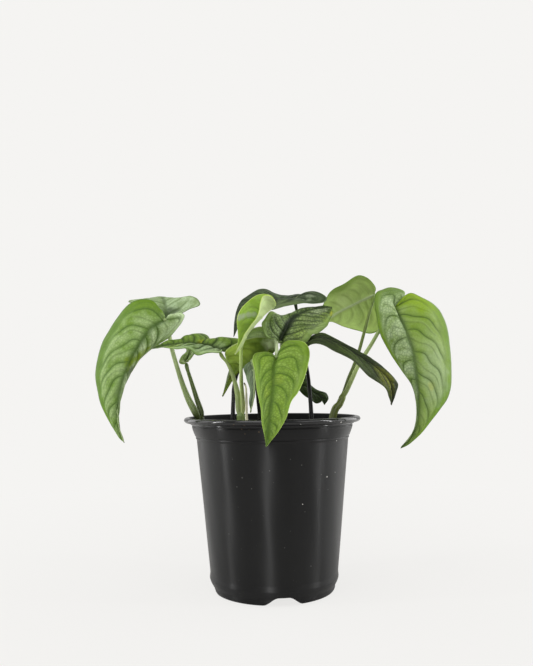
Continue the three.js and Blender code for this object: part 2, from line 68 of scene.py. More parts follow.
RIPPLES = [(0.16, 3, 0.9, 0), (0.1, 7, 0, 1 / 40), (0.05, 17, 0, 1 / 15)]  # depth, waves, turn, twist
DRAIN_TURNS = [math.radians(-82.3) + ROUND * k / 4 for k in range(4)]
ARCH_WIDTH = 38
ARCH_FLAT = 9
ARCH_HEIGHT = 7.5
DRAIN_HOLE_RADIUS = 4.5
DRAIN_HOLE_REACH = 38
POT_SIDES = 320

# Soil
SOIL_HEIGHT = 148
SOIL_RELIEF = 1.6
SOIL_RADIUS = 70.6
SOIL_RINGS = 90
SOIL_SPOKES = 240
SOIL_CENTRE = 0.02  # radius of the innermost ring
# Radius and height down the side of the soil
SOIL_WALL = [(70.2, 145), (68.9, 141), (58.1, 18), (58.0, 13.8), (55.4, FLOOR_TOP + 0.3)]
CRUMB_REACH = 67
CRUMB_CLEARANCE = 5

# Blades
BLADE_ROWS = 120
BLADE_COLUMNS = 20  # in each half
RIB_CROWDING = 1.25  # the columns stand closer together near the midrib
BLADE_THICKNESS = 0.5
BASAL_FAN = 0.16  # share of the margin whose side veins all start at the junction
VEIN_SWEEP = 1.25  # how far the side veins lean towards the tip
VEIN_CROWDING = 1.2  # the side veins stand closer together towards the tip
VEIN_BEND = 0.5  # how far the side veins curve towards the tip before they reach the collecting vein
VEIN_OFFSET = 0.45  # the right half's side veins start this share of a gap further on
COLLECTOR = 0.78  # share of the way out at which a collecting vein joins the side veins
VEINED = (0.86, 0.72)  # the shares of the way out over which the veins come in
MARGIN = (0.96, 0.992)  # the shares of the way out over which the margin's own colour comes in
RIB_GROOVE = 0.9
BLADE_VALUES = ("ahead", "side", "rib", "phase", "spacing")  # what blade_net knows of each point

# Marks on a blade: the distance from a vein at which each begins to show and the one within which it is
# full, and the width of the cells of the net of veins and of the skin
RIB_SHADE = (6.0, 1.2)
RIB_CORE = (2.6, 0.7)
VEIN_SHADE = (2.8, 0.2)
VEIN_CORE = (0.9, 0.1)
MINOR_VEIN = (1.3, 0.1)
NET_MESH = 2.8
SKIN_GRAIN = 2.2

# Stalks
STALK_SIDES = 16
STALK_STEPS = 60
STEM_SIDES = 28
SCAR_PLACES = (0.42, 0.66, 0.86)
SHEATH_LENGTH = 24  # how far up its foot a petiole is thickened by its sheath
STALK_END = 2.0  # a petiole ends this far below the middle of its blade
CLASP = 12  # how far a petiole's sheath reaches down its stem
PLANTED_HEIGHT = 130  # where a stem or petiole that stands in the soil starts


def curve(text):
    """The points of a curve that is written as x,y,z x,y,z and so on."""
    return np.array([point.split(",") for point in text.split()], float)


# Each stem: its path, its radius at the foot and the top, its shades from the foot up, and its slot
STEMS = {
    "left_stem": (curve("-61,5,130 -70,5,165.5"), (4.8, 4.4), "323a1a 424c22", "stem_dark"),
    "centre_stem": (curve("-28,-10,130 -29,-10,168.5"), (4.2, 3.9), "687a42 809656", "stem_light"),
    "right_stem": (
        curve("51.5,0,130 58.2,0,164 63.6,0,172.5 66.9,0,180 69.6,1,186.5"),
        (4.4, 2.95), "686e38 82904a", "stem_dark",
    ),
}

# The dried sheath: its path, and how its thin wall turns around that path and opens outward
SHEATH_PATH = curve("-23,-16,130 -23.6,-16,162 -23.5,-16,177.5 -23.8,-16,188.5 -25.4,-16,193.5")
SHEATH_RADIUS = (1.7, 0.6)
SHEATH_THICKNESS = 0.22
SHEATH_STEPS = 70
SHEATH_ARC = 22
SHEATH_START = -2.2
SHEATH_TWIST = 1.5
SHEATH_SWEEP = 1.62 * math.pi
SHEATH_OPENING = 0.22

# Each leaf: guide curves and looks. The petiole runs up to the junction, its last point. From there the
# midrib and both margins run to the tip, the midrib's last point. The left margin is on the left of someone
# who looks at the upper face of the leaf with its tip hanging down. The radius is the petiole's, at its foot
# and its top. The arch is how far each half rises between midrib and margin, as a share of its width. Of it
# and of slant, silver_share, streak and net, the first value is for the left half. The waves of the margin
# have a height and a number. Colours are sRGB codes, and the shades follow each other up the petiole. A
# stain, or a patch of painted light or painted shade, is a soft spot, given by its place (share of the way to
# the tip, share of the way out, below 0 in the left half), its reach along both, its colour and its strength.
# Which patches, leaf colours and petiole shades are painted light or painted shade is noted at each leaf.
USUAL = dict(
    slot="leaf_deep", stem=None, veins=8, slant=(0.35, 0.35), quilt=0.45, waves=(0.7, 3), sheath=0.5,
    green="6e902a", silver="9eb680", silver_share=(0.9, 0.9), silver_reach=0.74, streaks=5,
    streak=(0.35, 0.35), vein="4e6c24", vein_strength=0.5, edge="6e9034", net=(0.3, 0.3), under="8aa260",
    under_vein="a4b880", gloss=0.14, shades="3e4a20 869a60 9eb27a a0b678", stains=[],
)
LEAVES = {}


def add_leaf(name, **own):
    guides = {guide: curve(own[guide]) for guide in ("petiole", "midrib", "left", "right")}
    LEAVES[name] = {**USUAL, **own, **guides, "seed": FIRST_SEED + len(LEAVES)}


add_leaf(
    "big_left",
    petiole="-71.5,-1,165.5 -78.5,0,179 -85,6,194.5 -91,12,212 -96,16,229 -98.5,12,247 -99.5,0,253.5",
    midrib="-111.5,-5,246 -121.5,-11,231 -129.5,-16,216 -136,-20,197.5 -140,-22,177.5 -140,-21,157.5 "
    "-135.5,-19,140",
    left="-104.5,4,262.5 -112.5,8,272.5 -128,12,273.5 -143.5,12,262.5 -158,4,236 -164.5,-5,203.5 "
    "-161,-10,184 -154,-14,168.5 -141.5,-18,146.5",
    right="-94,4,257 -88.5,7,261 -82,10,259 -86,11,250.5 -97.5,11,239 -114,12,227.5 -127,10,215 "
    "-135,6,204.5 -142,0,190 -143.5,-8,173.5 -143,-14,156",
    radius=(2.5, 1.7), arch=(0.12, 0.12), slot="leaf_silver", stem="left_stem", slant=(0.9, 0.5),
    # The right half's silver_right colour is painted light: made lighter because that half faces away from
    # the light
    quilt=0.6, sheath=0.9, green="6c9028", silver="a2ba7c", silver_right="d6eab8", vein="486822",
    vein_strength=0.55, edge="4a6824", shades="505c2c 9cb074 bcce94 b8cc90",
    stains=[
        (0.08, -0.8, 0.44, 0.85, "688a1e", 0.95), (0.5, -1.0, 0.5, 0.34, "547616", 0.95),
        # The pale stain at 0.18 is painted light on the right lobe; the dark stains at 0.6 and 0.7 are a
        # painted shadow below the folded margin
        (0.18, 0.85, 0.16, 0.55, "d6eabc", 0.8), (0.6, 0.34, 0.05, 0.4, "344214", 0.8),
        (0.57, 0.05, 0.06, 0.24, "8ca614", 0.95), (0.51, 0.32, 0.06, 0.24, "8ca614", 0.95),
        (0.45, 0.52, 0.06, 0.2, "8ca618", 0.9), (0.56, 0.9, 0.12, 0.4, "789214", 1.0),
        (0.7, 0.95, 0.06, 0.5, "1e2810", 0.9),
    ],
)
add_leaf(
    "back_left",
    petiole="-71.5,10.5,163.5 -79.5,15,178 -85.5,18,194.5 -91.5,20,213 -95.5,22,227.5 -99,24,246 "
    "-100.5,24,256.5",
    midrib="-104.5,40,269.5 -108.5,55,280 -113,71,285.5 -120,86,283 -128,95,276",
    left="-94.5,18,256.5 -86.5,17,261 -77.5,17,265 -69,22,269.5 -72,36,277.5 -81.5,52,282 -93,66,281 "
    "-105,78,279",
    right="-106,18,258 -116.5,17,267 -129,18,271.5 -137.5,24,273.5 -140,40,278 -135,56,279 "
    "-129,77,279.5",
    radius=(1.7, 1.2), arch=(0.03, 0.03), slot="leaf_grey", stem="left_stem", quilt=0.3, sheath=0.7,
    green="748a4e", silver="b6cca0", silver_right="a4ba8a", silver_share=(1.0, 0.9), silver_reach=0.95,
    vein="607846", vein_strength=0.25, edge="607642", shades="3e481e 6e8046 889a60 8ca064",
    stains=[
        # The dark stain at the junction is painted shade in the hollow where the blade meets its petiole
        (0.2, -0.05, 0.3, 0.5, "2c3c22", 0.95), (0.3, 0.85, 0.12, 0.3, "8aa25c", 0.5),
    ],
)
add_leaf(
    "wavy_left",
    petiole="-30.5,-10,168.5 -31.5,-13,182.5 -35,-16,198 -40,-18,211 -45,-17,217.5 -48,-15,223.5",
    midrib="-60.5,-18,228.5 -76,-20,230 -92.5,-21,228.5 -108.5,-22,226",
    left="-43,-10,228 -33,-8,226 -29,-3,233 -42.5,5,237.5 -56,8,233.5 -62,8,238.5 -70,8,241 "
    "-78.5,5,239.5 -84.5,0,235 -96,-9,233",
    right="-44.5,-23,223.5 -47,-30,221 -57.5,-36,219.5 -66,-37,219 -73,-34,224 -84,-30,224 "
    "-94.5,-26,226.5",
    radius=(1.9, 1.3), arch=(0.1, 0.1), stem="centre_stem", quilt=0.6, waves=(1.1, 3), sheath=1.2,
    green="628228", silver="8ca84c", silver_right="acc490", silver_share=(0.6, 0.95),
    silver_reach=0.95, streak=(0.8, 0.3), vein="2e421a", vein_strength=0.7, edge="607a3c",
    # The petiole's shades are lightest at its foot: painted light that makes up for the shade the leaves
    # above cast there
    under="80965e", shades="bccc92 b0c282 a4b674 9cb060",
    stains=[
        (0.5, -0.1, 0.05, 0.3, "b0be2e", 0.8), (0.42, -0.5, 0.05, 0.3, "a0b232", 0.6),
        (0.24, 0.5, 0.2, 1.0, "b6ce96", 0.85), (0.78, 0.5, 0.2, 0.6, "96b248", 0.7),
        (0.45, -0.95, 0.25, 0.2, "3c561a", 0.7),
    ],
)
add_leaf(
    "hidden_left",
    petiole="-67,5,165.5 -71.5,7,179.5 -77,10,197 -81,13,209.5 -81,14,215.5",
    midrib="-79.5,30,226 -78.5,50,234 -78,72,238.5 -76.5,92,235.5",
    left="-77.5,8,216 -73.5,7,221 -69,15,225 -62,34,230 -61,60,236 -68,80,236.5",
    right="-82,10,212.5 -86,8,212.5 -87.5,8,215 -85.5,11,220 -82,17,224.5 -85.5,34,230.5 -89.5,56,236 "
    "-86,78,238",
    radius=(2.2, 1.5), arch=(0.08, 0.08), stem="left_stem", green="a4be74", silver="e2f4b8",
    edge="5a7036", under="e2f4b8", shades="363e1c 5a6a32 708448 748a4e",
)
add_leaf(
    "young_arched",
    petiole="-27,-12,168.5 -27,-17,179.5 -27.5,-24,191.5 -27.5,-31,205 -27,-33,223.5 -23,-31,240.5 "
    "-14.5,-29,255 -5.5,-30,262.5 1.5,-38,260.5",
    midrib="-4.5,-42,255.5 -10.5,-45,249 -17,-47,241.5 -22,-48.5,234.5 -26,-49,226 -32.5,-50,218",
    left="3,-36,265.5 0.5,-35,270.5 -6.5,-36,272 -13.5,-37,270 -21.5,-39,264 -27,-41,258 -30,-43,249.5 "
    "-29,-45,238.5 -29,-48,229.5",
    right="4.5,-44,261 3,-50,265.5 -1.5,-54,268.5 -7,-57,267.5 -9,-58.5,261.5 -10,-59,254.5 "
    "-13,-59,248 -18,-58.5,242.5 -23.5,-57,235 -27.5,-54.5,226.5",
    radius=(1.8, 1.2), arch=(0.1, -0.05), slot="leaf_fresh", stem="centre_stem", veins=6, quilt=0.15,
    waves=(0.4, 2), sheath=0.4, green="7aa01c", silver="a0b868", silver_right="cee48c",
    silver_share=(0.35, 0.8), silver_reach=0.95, vein="6e8834", vein_strength=0.3, edge="cee278",
    # The petiole's shades are lightest at its foot: painted light that makes up for the shade the leaves
    # above cast there
    net=(0.1, 0.1), under="d0e4a0", under_vein="c4d49c", shades="d6e6a0 bad082 aac468 b0ca6c",
    stains=[
        (0.38, -0.6, 0.07, 0.7, "70901e", 0.7), (0.75, -0.4, 0.2, 0.9, "68861a", 0.85),
        (0.15, -0.5, 0.15, 0.6, "96b824", 0.7), (0.6, -0.9, 0.05, 0.22, "96a482", 0.9),
        (0.57, -0.7, 0.055, 0.22, "96a482", 0.9), (0.53, -0.5, 0.055, 0.22, "96a482", 0.9),
        (0.49, -0.3, 0.05, 0.2, "96a482", 0.9),
    ],
)
add_leaf(
    "folded_centre",
    petiole="-37,4,130 -37,4,161.5 -36.5,5,177.5 -35.5,6,191.5 -30,5,207.5 -17,1,221.5 -8.5,-6,224 "
    "-2,-16,223",
    midrib="-12,-18,218.5 -20.5,-17,212.5 -28,-13,207 -35.5,-8,199 -46.5,-4,181",
    left="0,-9,228.5 -1.5,-5,236 -3,-1,242 -9.5,2,246.5 -20.5,4,243.5 -29.5,5,234 -37,3,219 -41,0,200",
    right="0,-17,219.5 3.5,-15,223 5,-15,229 1.5,-18,234 -5,-24,234 -14,-28,234 -24,-27,232 "
    "-37,-20,226.5 -43,-15,221 -41,-11,212.5 -38.5,-9,203",
    radius=(2.2, 1.3), arch=(0.06, -0.06), slot="leaf_olive", sheath=1.0, green="5c7430",
    silver="80925a", vein="344622", edge="a0b06e", under="668222", under_vein="829a38", gloss=0.22,
    # The near-black petiole shades are painted shade: this petiole stands in shade behind the leaves
    shades="050604 060705 14180c 384422",
    stains=[
        # The near-white stain at 0.18 is painted light on the lobe, which faces away from the light
        (0.18, 0.55, 0.14, 0.7, "def0ba", 0.92), (0.62, 0.95, 0.04, 0.3, "92963c", 0.6),
        (0.56, 0.6, 0.26, 0.9, "a8c64c", 0.85), (0.8, 0.5, 0.08, 0.6, "848a28", 0.6),
        (0.96, 0.0, 0.05, 1.2, "806c30", 0.8),
    ],
)
add_leaf(
    "mottled_centre",
    petiole="2.5,4,130 4.5,-3,167.5 8.5,-13,191 11.5,-24,213.5 9,-31,226 7.5,-34,229.5",
    midrib="12,-27,239.5 18.5,-19,251 30,-9,258.5 45,4,263 59.5,16,266",
    left="13,-41,225.5 21.5,-42,224 31,-36,228.5 36.5,-28,235.5 44.5,-20,239 53.5,-6,247.5 "
    "58.5,8,258.5",
    right="2,-43,231.5 -5,-42,234 -8.5,-36,244 -5.5,-31,250.5 0,-25,258 7.5,-14,254.5 22,-2,260 "
    "38.5,6,265 50,12,266.5",
    radius=(1.9, 1.3), arch=(0.1, 0.08), veins=10, slant=(1.3, 0.3), quilt=1.1, waves=(0.9, 4),
    green="5c7628", silver="a8be78", silver_right="a0b67e", silver_share=(0.7, 0.75),
    silver_reach=0.96, streaks=3, streak=(0.85, 0.85), vein="223214", edge="687e3e", net=(0.6, 0.6),
    gloss=0.2, shades="58643c 707e54 96a67c aab892",
    stains=[
        (0.88, -0.9, 0.06, 0.16, "b0b02c", 0.6), (0.75, -0.7, 0.1, 0.3, "869e38", 0.6),
        # The near-black stain along the midrib at 0.4 is painted shade in the valley where the blade folds
        (0.4, 0.0, 0.34, 0.3, "0c1606", 0.99), (0.35, -0.6, 0.12, 0.3, "869e42", 0.6),
        (0.55, -0.45, 0.08, 0.2, "96aa68", 0.5), (0.85, -0.3, 0.25, 0.3, "baca9e", 0.7),
    ],
)
add_leaf(
    "front_bright",
    petiole="-7,-6,130 -3.5,-8,172.5 1,-10,191 4.5,-13,209.5 4.5,-19,224 4,-29,232 4.5,-38,229 "
    "4.5,-47,221.5 4.5,-52,215",
    midrib="1.5,-63,205.5 0.5,-77,187.5 -1.5,-86,173.5 -3.5,-92,157 -6,-94,140.5",
    left="-0.5,-49,218.5 -6.5,-46,220 -14,-45,218.5 -16.5,-49,213 -15,-58,203 -13,-68,190 -11,-79,177 "
    "-9,-87,162.5 -7,-91.5,150.5",
    right="6.5,-48,221 11,-43,228 18,-41,230.5 28,-42,228.5 32.5,-47,221 31.5,-56,209.5 27.5,-65,196.5 "
    "21,-74,184.5 15,-80,176.5 11,-87,163.5 4.5,-91.5,153.5 -2,-93.5,145.5",
    radius=(1.9, 1.4), arch=(0.1, 0.1), slot="leaf_bright", veins=7, slant=(0.8, 0.8), quilt=0.6,
    waves=(0.6, 3), green="6c8e1e", silver="92ac54", silver_share=(0.75, 0.75), silver_reach=0.9,
    streak=(0.7, 0.6), vein="486816", vein_strength=0.6, edge="b2d068", net=(0.45, 0.45),
    shades="7c8a60 9aa87c b2c296 becca2",
    stains=[
        (0.5, 0.1, 0.09, 0.3, "96ac32", 0.45), (0.3, -0.5, 0.1, 0.3, "86a238", 0.4),
        (0.75, 0.3, 0.14, 0.5, "88a834", 0.5), (0.6, -0.4, 0.1, 0.3, "96ae38", 0.5),
    ],
)
add_leaf(
    "hanging_grey",
    petiole="-10,8,130 -11.5,6,161 -13,3,177 -14,-1,191.5 -15.5,-8,204.5 -16.5,-18,211 -17,-27,213",
    midrib="-15.5,-33,203 -15.2,-37,191 -15.8,-38,181.5 -19.3,-36,166.5",
    left="-19,-24,212.5 -22,-24,210 -25,-27,205.5 -23,-31,198 -20,-34,190.5 -20.3,-36,179",
    right="-14.5,-23,213 -15.9,-18,208 -16.8,-19,199.5 -17.4,-25,190.5 -17.6,-31,178.5",
    radius=(2.1, 1.3), arch=(0.08, 0.08), slot="leaf_grey", sheath=1.0, green="768c68",
    silver="98aa88", vein="607254", edge="687a5a", under="90a280",
    # The near-black petiole shades are painted shade: this petiole stands in shade behind the leaves
    shades="060705 070806 0e1109 323c26",
)
add_leaf(
    "pale_right",
    petiole="68.2,3.5,183 73.5,6.5,197 78.5,9,208 84,10,223 89.5,11,241.5 94.5,13,259 98.5,17,270 "
    "100.5,22,277.5",
    midrib="89.5,25,273 79,27,268 66,26,261.5 55,22,254.5 45.5,17,249.5",
    left="110,30,273.5 116.5,35,262 113.5,37,248.5 100.5,36,241.5 86.5,34,244 72,31,247.5 60,25,252.5 "
    "51.5,20,250",
    right="101.5,17,283.5 96,14,291 87,12,294.5 79,12,292.5 69,14,287 60,16,281.5 54.5,17,275 "
    "48.5,17,264",
    radius=(1.8, 1.3), arch=(0.1, 0.1), slot="leaf_bright", stem="right_stem", quilt=0.3, sheath=0.15,
    # The underside colour is painted light: brighter than the leaf's own underside, for light shining through
    # the blade
    under="b8d478", under_vein="b6c696", shades="5a6232 647438 70823c 789042",
    stains=[
        (0.5, 1.0, 0.4, 0.4, "76923c", 0.8), (0.6, 0.3, 0.14, 0.4, "c8de92", 0.6),
        (0.35, -0.7, 0.2, 0.5, "c4de7a", 0.6),
    ],
)
add_leaf(
    "dark_right",
    petiole="8,-8,130 10,-8,172.5 16,-11,191 22.5,-17,209 26.5,-23,220.5 28.5,-27,225",
    midrib="41.5,-33,232 56,-40,226.5 73,-46,216.5 89,-50,206 102,-52,192 104,-50,172",
    left="29,-34,222 34.5,-45,225.5 43.5,-52,225.5 55,-58,219 68.5,-63,210.5 82.5,-64,197.5 "
    "95.5,-60,188 100.5,-55,179.5",
    right="29,-22,230.5 36.5,-17,235 46.5,-17,238.5 60,-25,230.5 77.5,-32,219.5 92,-37,209.5 "
    "104,-41,199.5 110.5,-45,191.5 108,-48,183",
    # Painted shade: this leaf's greens, silver, veins, underside and petiole are darker than the other
    # leaves' because it hangs in shade, and so is its near-black stain at 0.5
    radius=(1.9, 1.4), arch=(0.12, 0.12), slot="leaf_dusky", quilt=0.5, green="243212",
    silver="425224", silver_right="3a4820", silver_share=(0.7, 0.5), silver_reach=0.9,
    streak=(0.5, 0.8), vein="181e0e", edge="4a562c", under="465628", under_vein="5c6842",
    shades="3c4828 3c4828 3c4828",
    stains=[
        (0.86, -0.2, 0.16, 0.9, "767c1e", 0.85), (0.55, -0.7, 0.25, 0.25, "4c5e28", 0.8),
        (0.5, -0.2, 0.3, 0.2, "18220c", 0.8), (1.0, 0.0, 0.02, 1.5, "301e12", 1.0),
    ],
)
add_leaf(
    "big_right",
    petiole="69.2,-1,183 76,-3,197.5 82,-2,209.5 94,2,227.5 103,5,242 111,6,255 114,3,259.5 115,-2,262",
    midrib="119,-10,252.5 124,-18,237.5 128.5,-24,218 130.5,-29,194 131,-32,171.5 127.5,-33,150 "
    "114.5,-31,132.5",
    left="120,4,266.5 126.5,10,273 129,14,279 123,17,282.5 115,16,283 108,14,281 101,10,277.5 "
    "98,4,268.5 99,-1,254.5 101,-5,240.5 109,-10,222 118.5,-16,204 126,-22,190.5 129.5,-28,176 "
    "129,-32,160 124,-33,144.5",
    right="119.5,-4,266.5 125.5,0,273 133,4,276.5 142,6,273.5 154.5,6,265.5 163.5,2,250.5 167,-5,227 "
    "165.5,-14,201 160.5,-22,179.5 151.5,-27,167 137,-32,150.5 123,-33,137.5",
    radius=(2.1, 1.6), arch=(0.12, 0.12), slot="leaf_silver", stem="right_stem", slant=(0.3, 0.8),
    waves=(0.5, 3), sheath=0.15, green="709024", silver="aec292", silver_right="8ca458",
    silver_share=(1.0, 0.9), silver_reach=0.8, streak=(0.25, 0.5), vein="3e5a1e", vein_strength=0.45,
    edge="547228", net=(0.4, 0.12), shades="96a660 acbe7a 9cb070 96ac6c",
    stains=[
        (0.14, 0.75, 0.22, 0.75, "86a422", 0.9), (0.45, 0.98, 0.34, 0.18, "628414", 0.9),
        (0.75, 0.9, 0.2, 0.3, "688c32", 0.6), (0.62, 0.5, 0.26, 0.5, "a4b88a", 0.6),
        (0.68, 0.38, 0.03, 0.13, "aab054", 0.45), (0.18, -0.85, 0.12, 0.6, "6a863e", 0.85),
        (0.3, -0.98, 0.2, 0.2, "68823c", 0.7),
    ],
)
add_leaf(
    "small_curled",
    petiole="10.5,15,130 14.5,19,169 20,26,181 25.5,34,189",
    midrib="33,31,190 40.5,28,184 47,26,179.5 52,25,171.5",
    left="25.5,29,187.5 29,24,183.5 35.5,20,178 42.5,19,173.5 47.5,21,174 49.5,22.5,176.5",
    right="25.5,39,194 30,42,198.5 35.5,43,199.5 41,41,190.5 47,37,184 54.5,32,183 56,28,178",
    radius=(1.5, 1.1), arch=(0.1, 0.1), quilt=0.7, waves=(1.0, 3), green="2c3e12", silver="485c2c",
    vein="1a2610", edge="405426", under="42542c", gloss=0.1, shades="384624 3c4c28 42542c",
)
add_leaf(
    "back_dark",
    petiole="37,10,130 37.5,10,160 36.5,11,181 35,13,200.5 31.5,16,222.5 27.5,18,249 25,17,264 "
    "23,15.5,274",
    midrib="7,13,273 -8,9,273.5 -21.5,5,267.5 -30,2,255 -35.5,0,237",
    left="27.5,22,274 34.5,28,277.5 40.5,32,278.5 35.5,37,281 24.5,37,280 13.5,35,280.5 3,32,282 "
    "-4.5,27,284.5 -13.5,22,283 -23.5,14,276.5 -29.5,9,270 -34,4,253",
    right="26.5,14,276 32.5,13,279.5 41,11,280.5 48.5,9,278 53.5,7,273 50,3,268 41.5,0,267 32,-3,268 "
    "22.5,-6,266.5 13,-7,264 3,-7,261 -7,-6,260.5 -17,-4,260 -25,-2,255 -31,-1,245",
    radius=(2.2, 1.3), arch=(0.05, 0.05), quilt=0.7, sheath=1.0, green="28381a", silver="687c56",
    silver_right="74865e", silver_share=(0.8, 0.7), silver_reach=0.9, streak=(1.0, 1.0), vein="2a3620",
    vein_strength=0.7, edge="64784e", under="9eae7a", under_vein="788a58", gloss=0.18,
    # The near-black petiole shades are painted shade: this petiole stands in shade at the back
    shades="060705 070806 10130a 343e24",
    stains=[
        (0.45, 0.3, 0.14, 0.4, "1a260e", 0.9), (0.57, 0.9, 0.2, 0.4, "748654", 0.5),
        (0.18, -0.3, 0.12, 0.4, "141e0a", 0.95), (0.8, -0.8, 0.2, 0.5, "223214", 0.9),
        (0.62, -0.2, 0.08, 0.3, "1c2a10", 0.8), (0.22, 0.6, 0.06, 0.2, "92a080", 0.7),
        (0.34, 0.7, 0.05, 0.2, "92a080", 0.6),
    ],
)


# Materials


def colour(code, share=1.0):
    """A linear colour from an sRGB code, made darker by a share under 1 or lighter by one over 1."""
    shares = [min(1.0, value * share / 255) for value in bytes.fromhex(code)]
    return [c / 12.92 if c <= 0.04045 else ((c + 0.055) / 1.055) ** 2.4 for c in shares] + [1.0]


class Signal:
    """What a node gives, a number or a colour. Sums with it add the nodes that work them out."""

    def __init__(self, nodes, socket):
        self.nodes, self.socket = nodes, socket

    def sum(self, operation, other=0.0, clamp=False):
        return self.nodes.add("ShaderNodeMath", {0: self, 1: other}, operation=operation, use_clamp=clamp)

    __add__ = partialmethod(sum, "ADD")
    __sub__ = partialmethod(sum, "SUBTRACT")
    __mul__ = partialmethod(sum, "MULTIPLY")
    __truediv__ = partialmethod(sum, "DIVIDE")
    __abs__ = partialmethod(sum, "ABSOLUTE")
    larger = partialmethod(sum, "MAXIMUM")

    def __rsub__(self, other):
        return self * -1.0 + other

    def step(self, low, high):
        """0 up to low, 1 from high, and a soft S between them. It falls where low is over high."""
        inputs = {"Value": self, "From Min": min(low, high), "From Max": max(low, high)}
        inputs.update({"To Min": float(low > high), "To Max": float(low < high)})
        return self.nodes.add("ShaderNodeMapRange", inputs, interpolation_type="SMOOTHSTEP")

    def blend(self, a, b):
        """The number that lies between a and b by this share."""
        return self.nodes.add("ShaderNodeMix", {0: self, 2: a, 3: b}, clamp_factor=False)

    def mix(self, a, b, kind="MIX"):
        """The colour that lies between a and b by this share."""
        return self.nodes.add("ShaderNodeMix", {0: self, 6: a, 7: b}, 2, data_type="RGBA", blend_type=kind)


class Nodes:
    """The nodes of a material or a world, and short ways to add to them."""

    def __init__(self, owner):
        owner.use_nodes = True
        self.tree = owner.node_tree

    def add(self, kind, inputs=(), output=0, **settings):
        made = self.tree.nodes.new(kind)
        for name, value in settings.items():
            setattr(made, name, value)
        for name, value in dict(inputs).items():
            self.feed(made, name, value)
        return Signal(self, made.outputs[output])

    def feed(self, node, name, value):
        """Gives an input of a node a signal, or a number or colour that is the same everywhere."""
        if isinstance(value, Signal):
            self.tree.links.new(value.socket, node.inputs[name])
        else:
            node.inputs[name].default_value = value

    def show(self, close, far, share, output):
        """Mixes two shaders, the second of which only the camera sees, and sends them to the output."""
        seen = self.add("ShaderNodeLightPath", output="Is Camera Ray") * share
        mixed = self.add("ShaderNodeMixShader", {0: seen, 1: close, 2: far})
        self.feed(self.tree.nodes[output], "Surface", mixed)


class Finish(Nodes):
    """A material, and textures in the plant's own space."""

    def __init__(self, name, roughness, specular):
        self.material = bpy.data.materials.new(name)
        super().__init__(self.material)
        self.shader = self.tree.nodes["Principled BSDF"]
        self.set("Roughness", roughness)
        self.set("Specular IOR Level", specular)

    def set(self, name, value):
        self.feed(self.shader, name, value)

    def known(self, *names):
        """Values that the mesh carries."""
        return [self.add("ShaderNodeAttribute", output="Fac", attribute_name=name) for name in names]

    def place(self, stretch=1.0):
        """The place in the plant's own space, in metres, with its height stretched."""
        place = self.add("ShaderNodeTexCoord", output="Object")
        return self.add("ShaderNodeVectorMath", {0: place, 1: (1.0, 1.0, stretch)}, operation="MULTIPLY")

    def noise(self, place, scale=1.0, detail=2.0):
        """Noise from 0 to 1."""
        return self.add("ShaderNodeTexNoise", {"Vector": place, "Scale": scale, "Detail": detail}, "Fac")

    def grain(self, size, detail=2.0, stretch=1.0):
        """Noise whose grains are about size millimetres."""
        return self.noise(self.place(stretch), 1 / (size * MM), detail)

    def cells(self, size, feature="DISTANCE_TO_EDGE"):
        inputs = {"Vector": self.place(), "Scale": 1 / (size * MM)}
        return self.add("ShaderNodeTexVoronoi", inputs, "Distance", feature=feature)

    def bump(self, height, depth, strength):
        inputs = {"Height": height, "Distance": depth * MM, "Strength": strength}
        self.set("Normal", self.add("ShaderNodeBump", inputs))


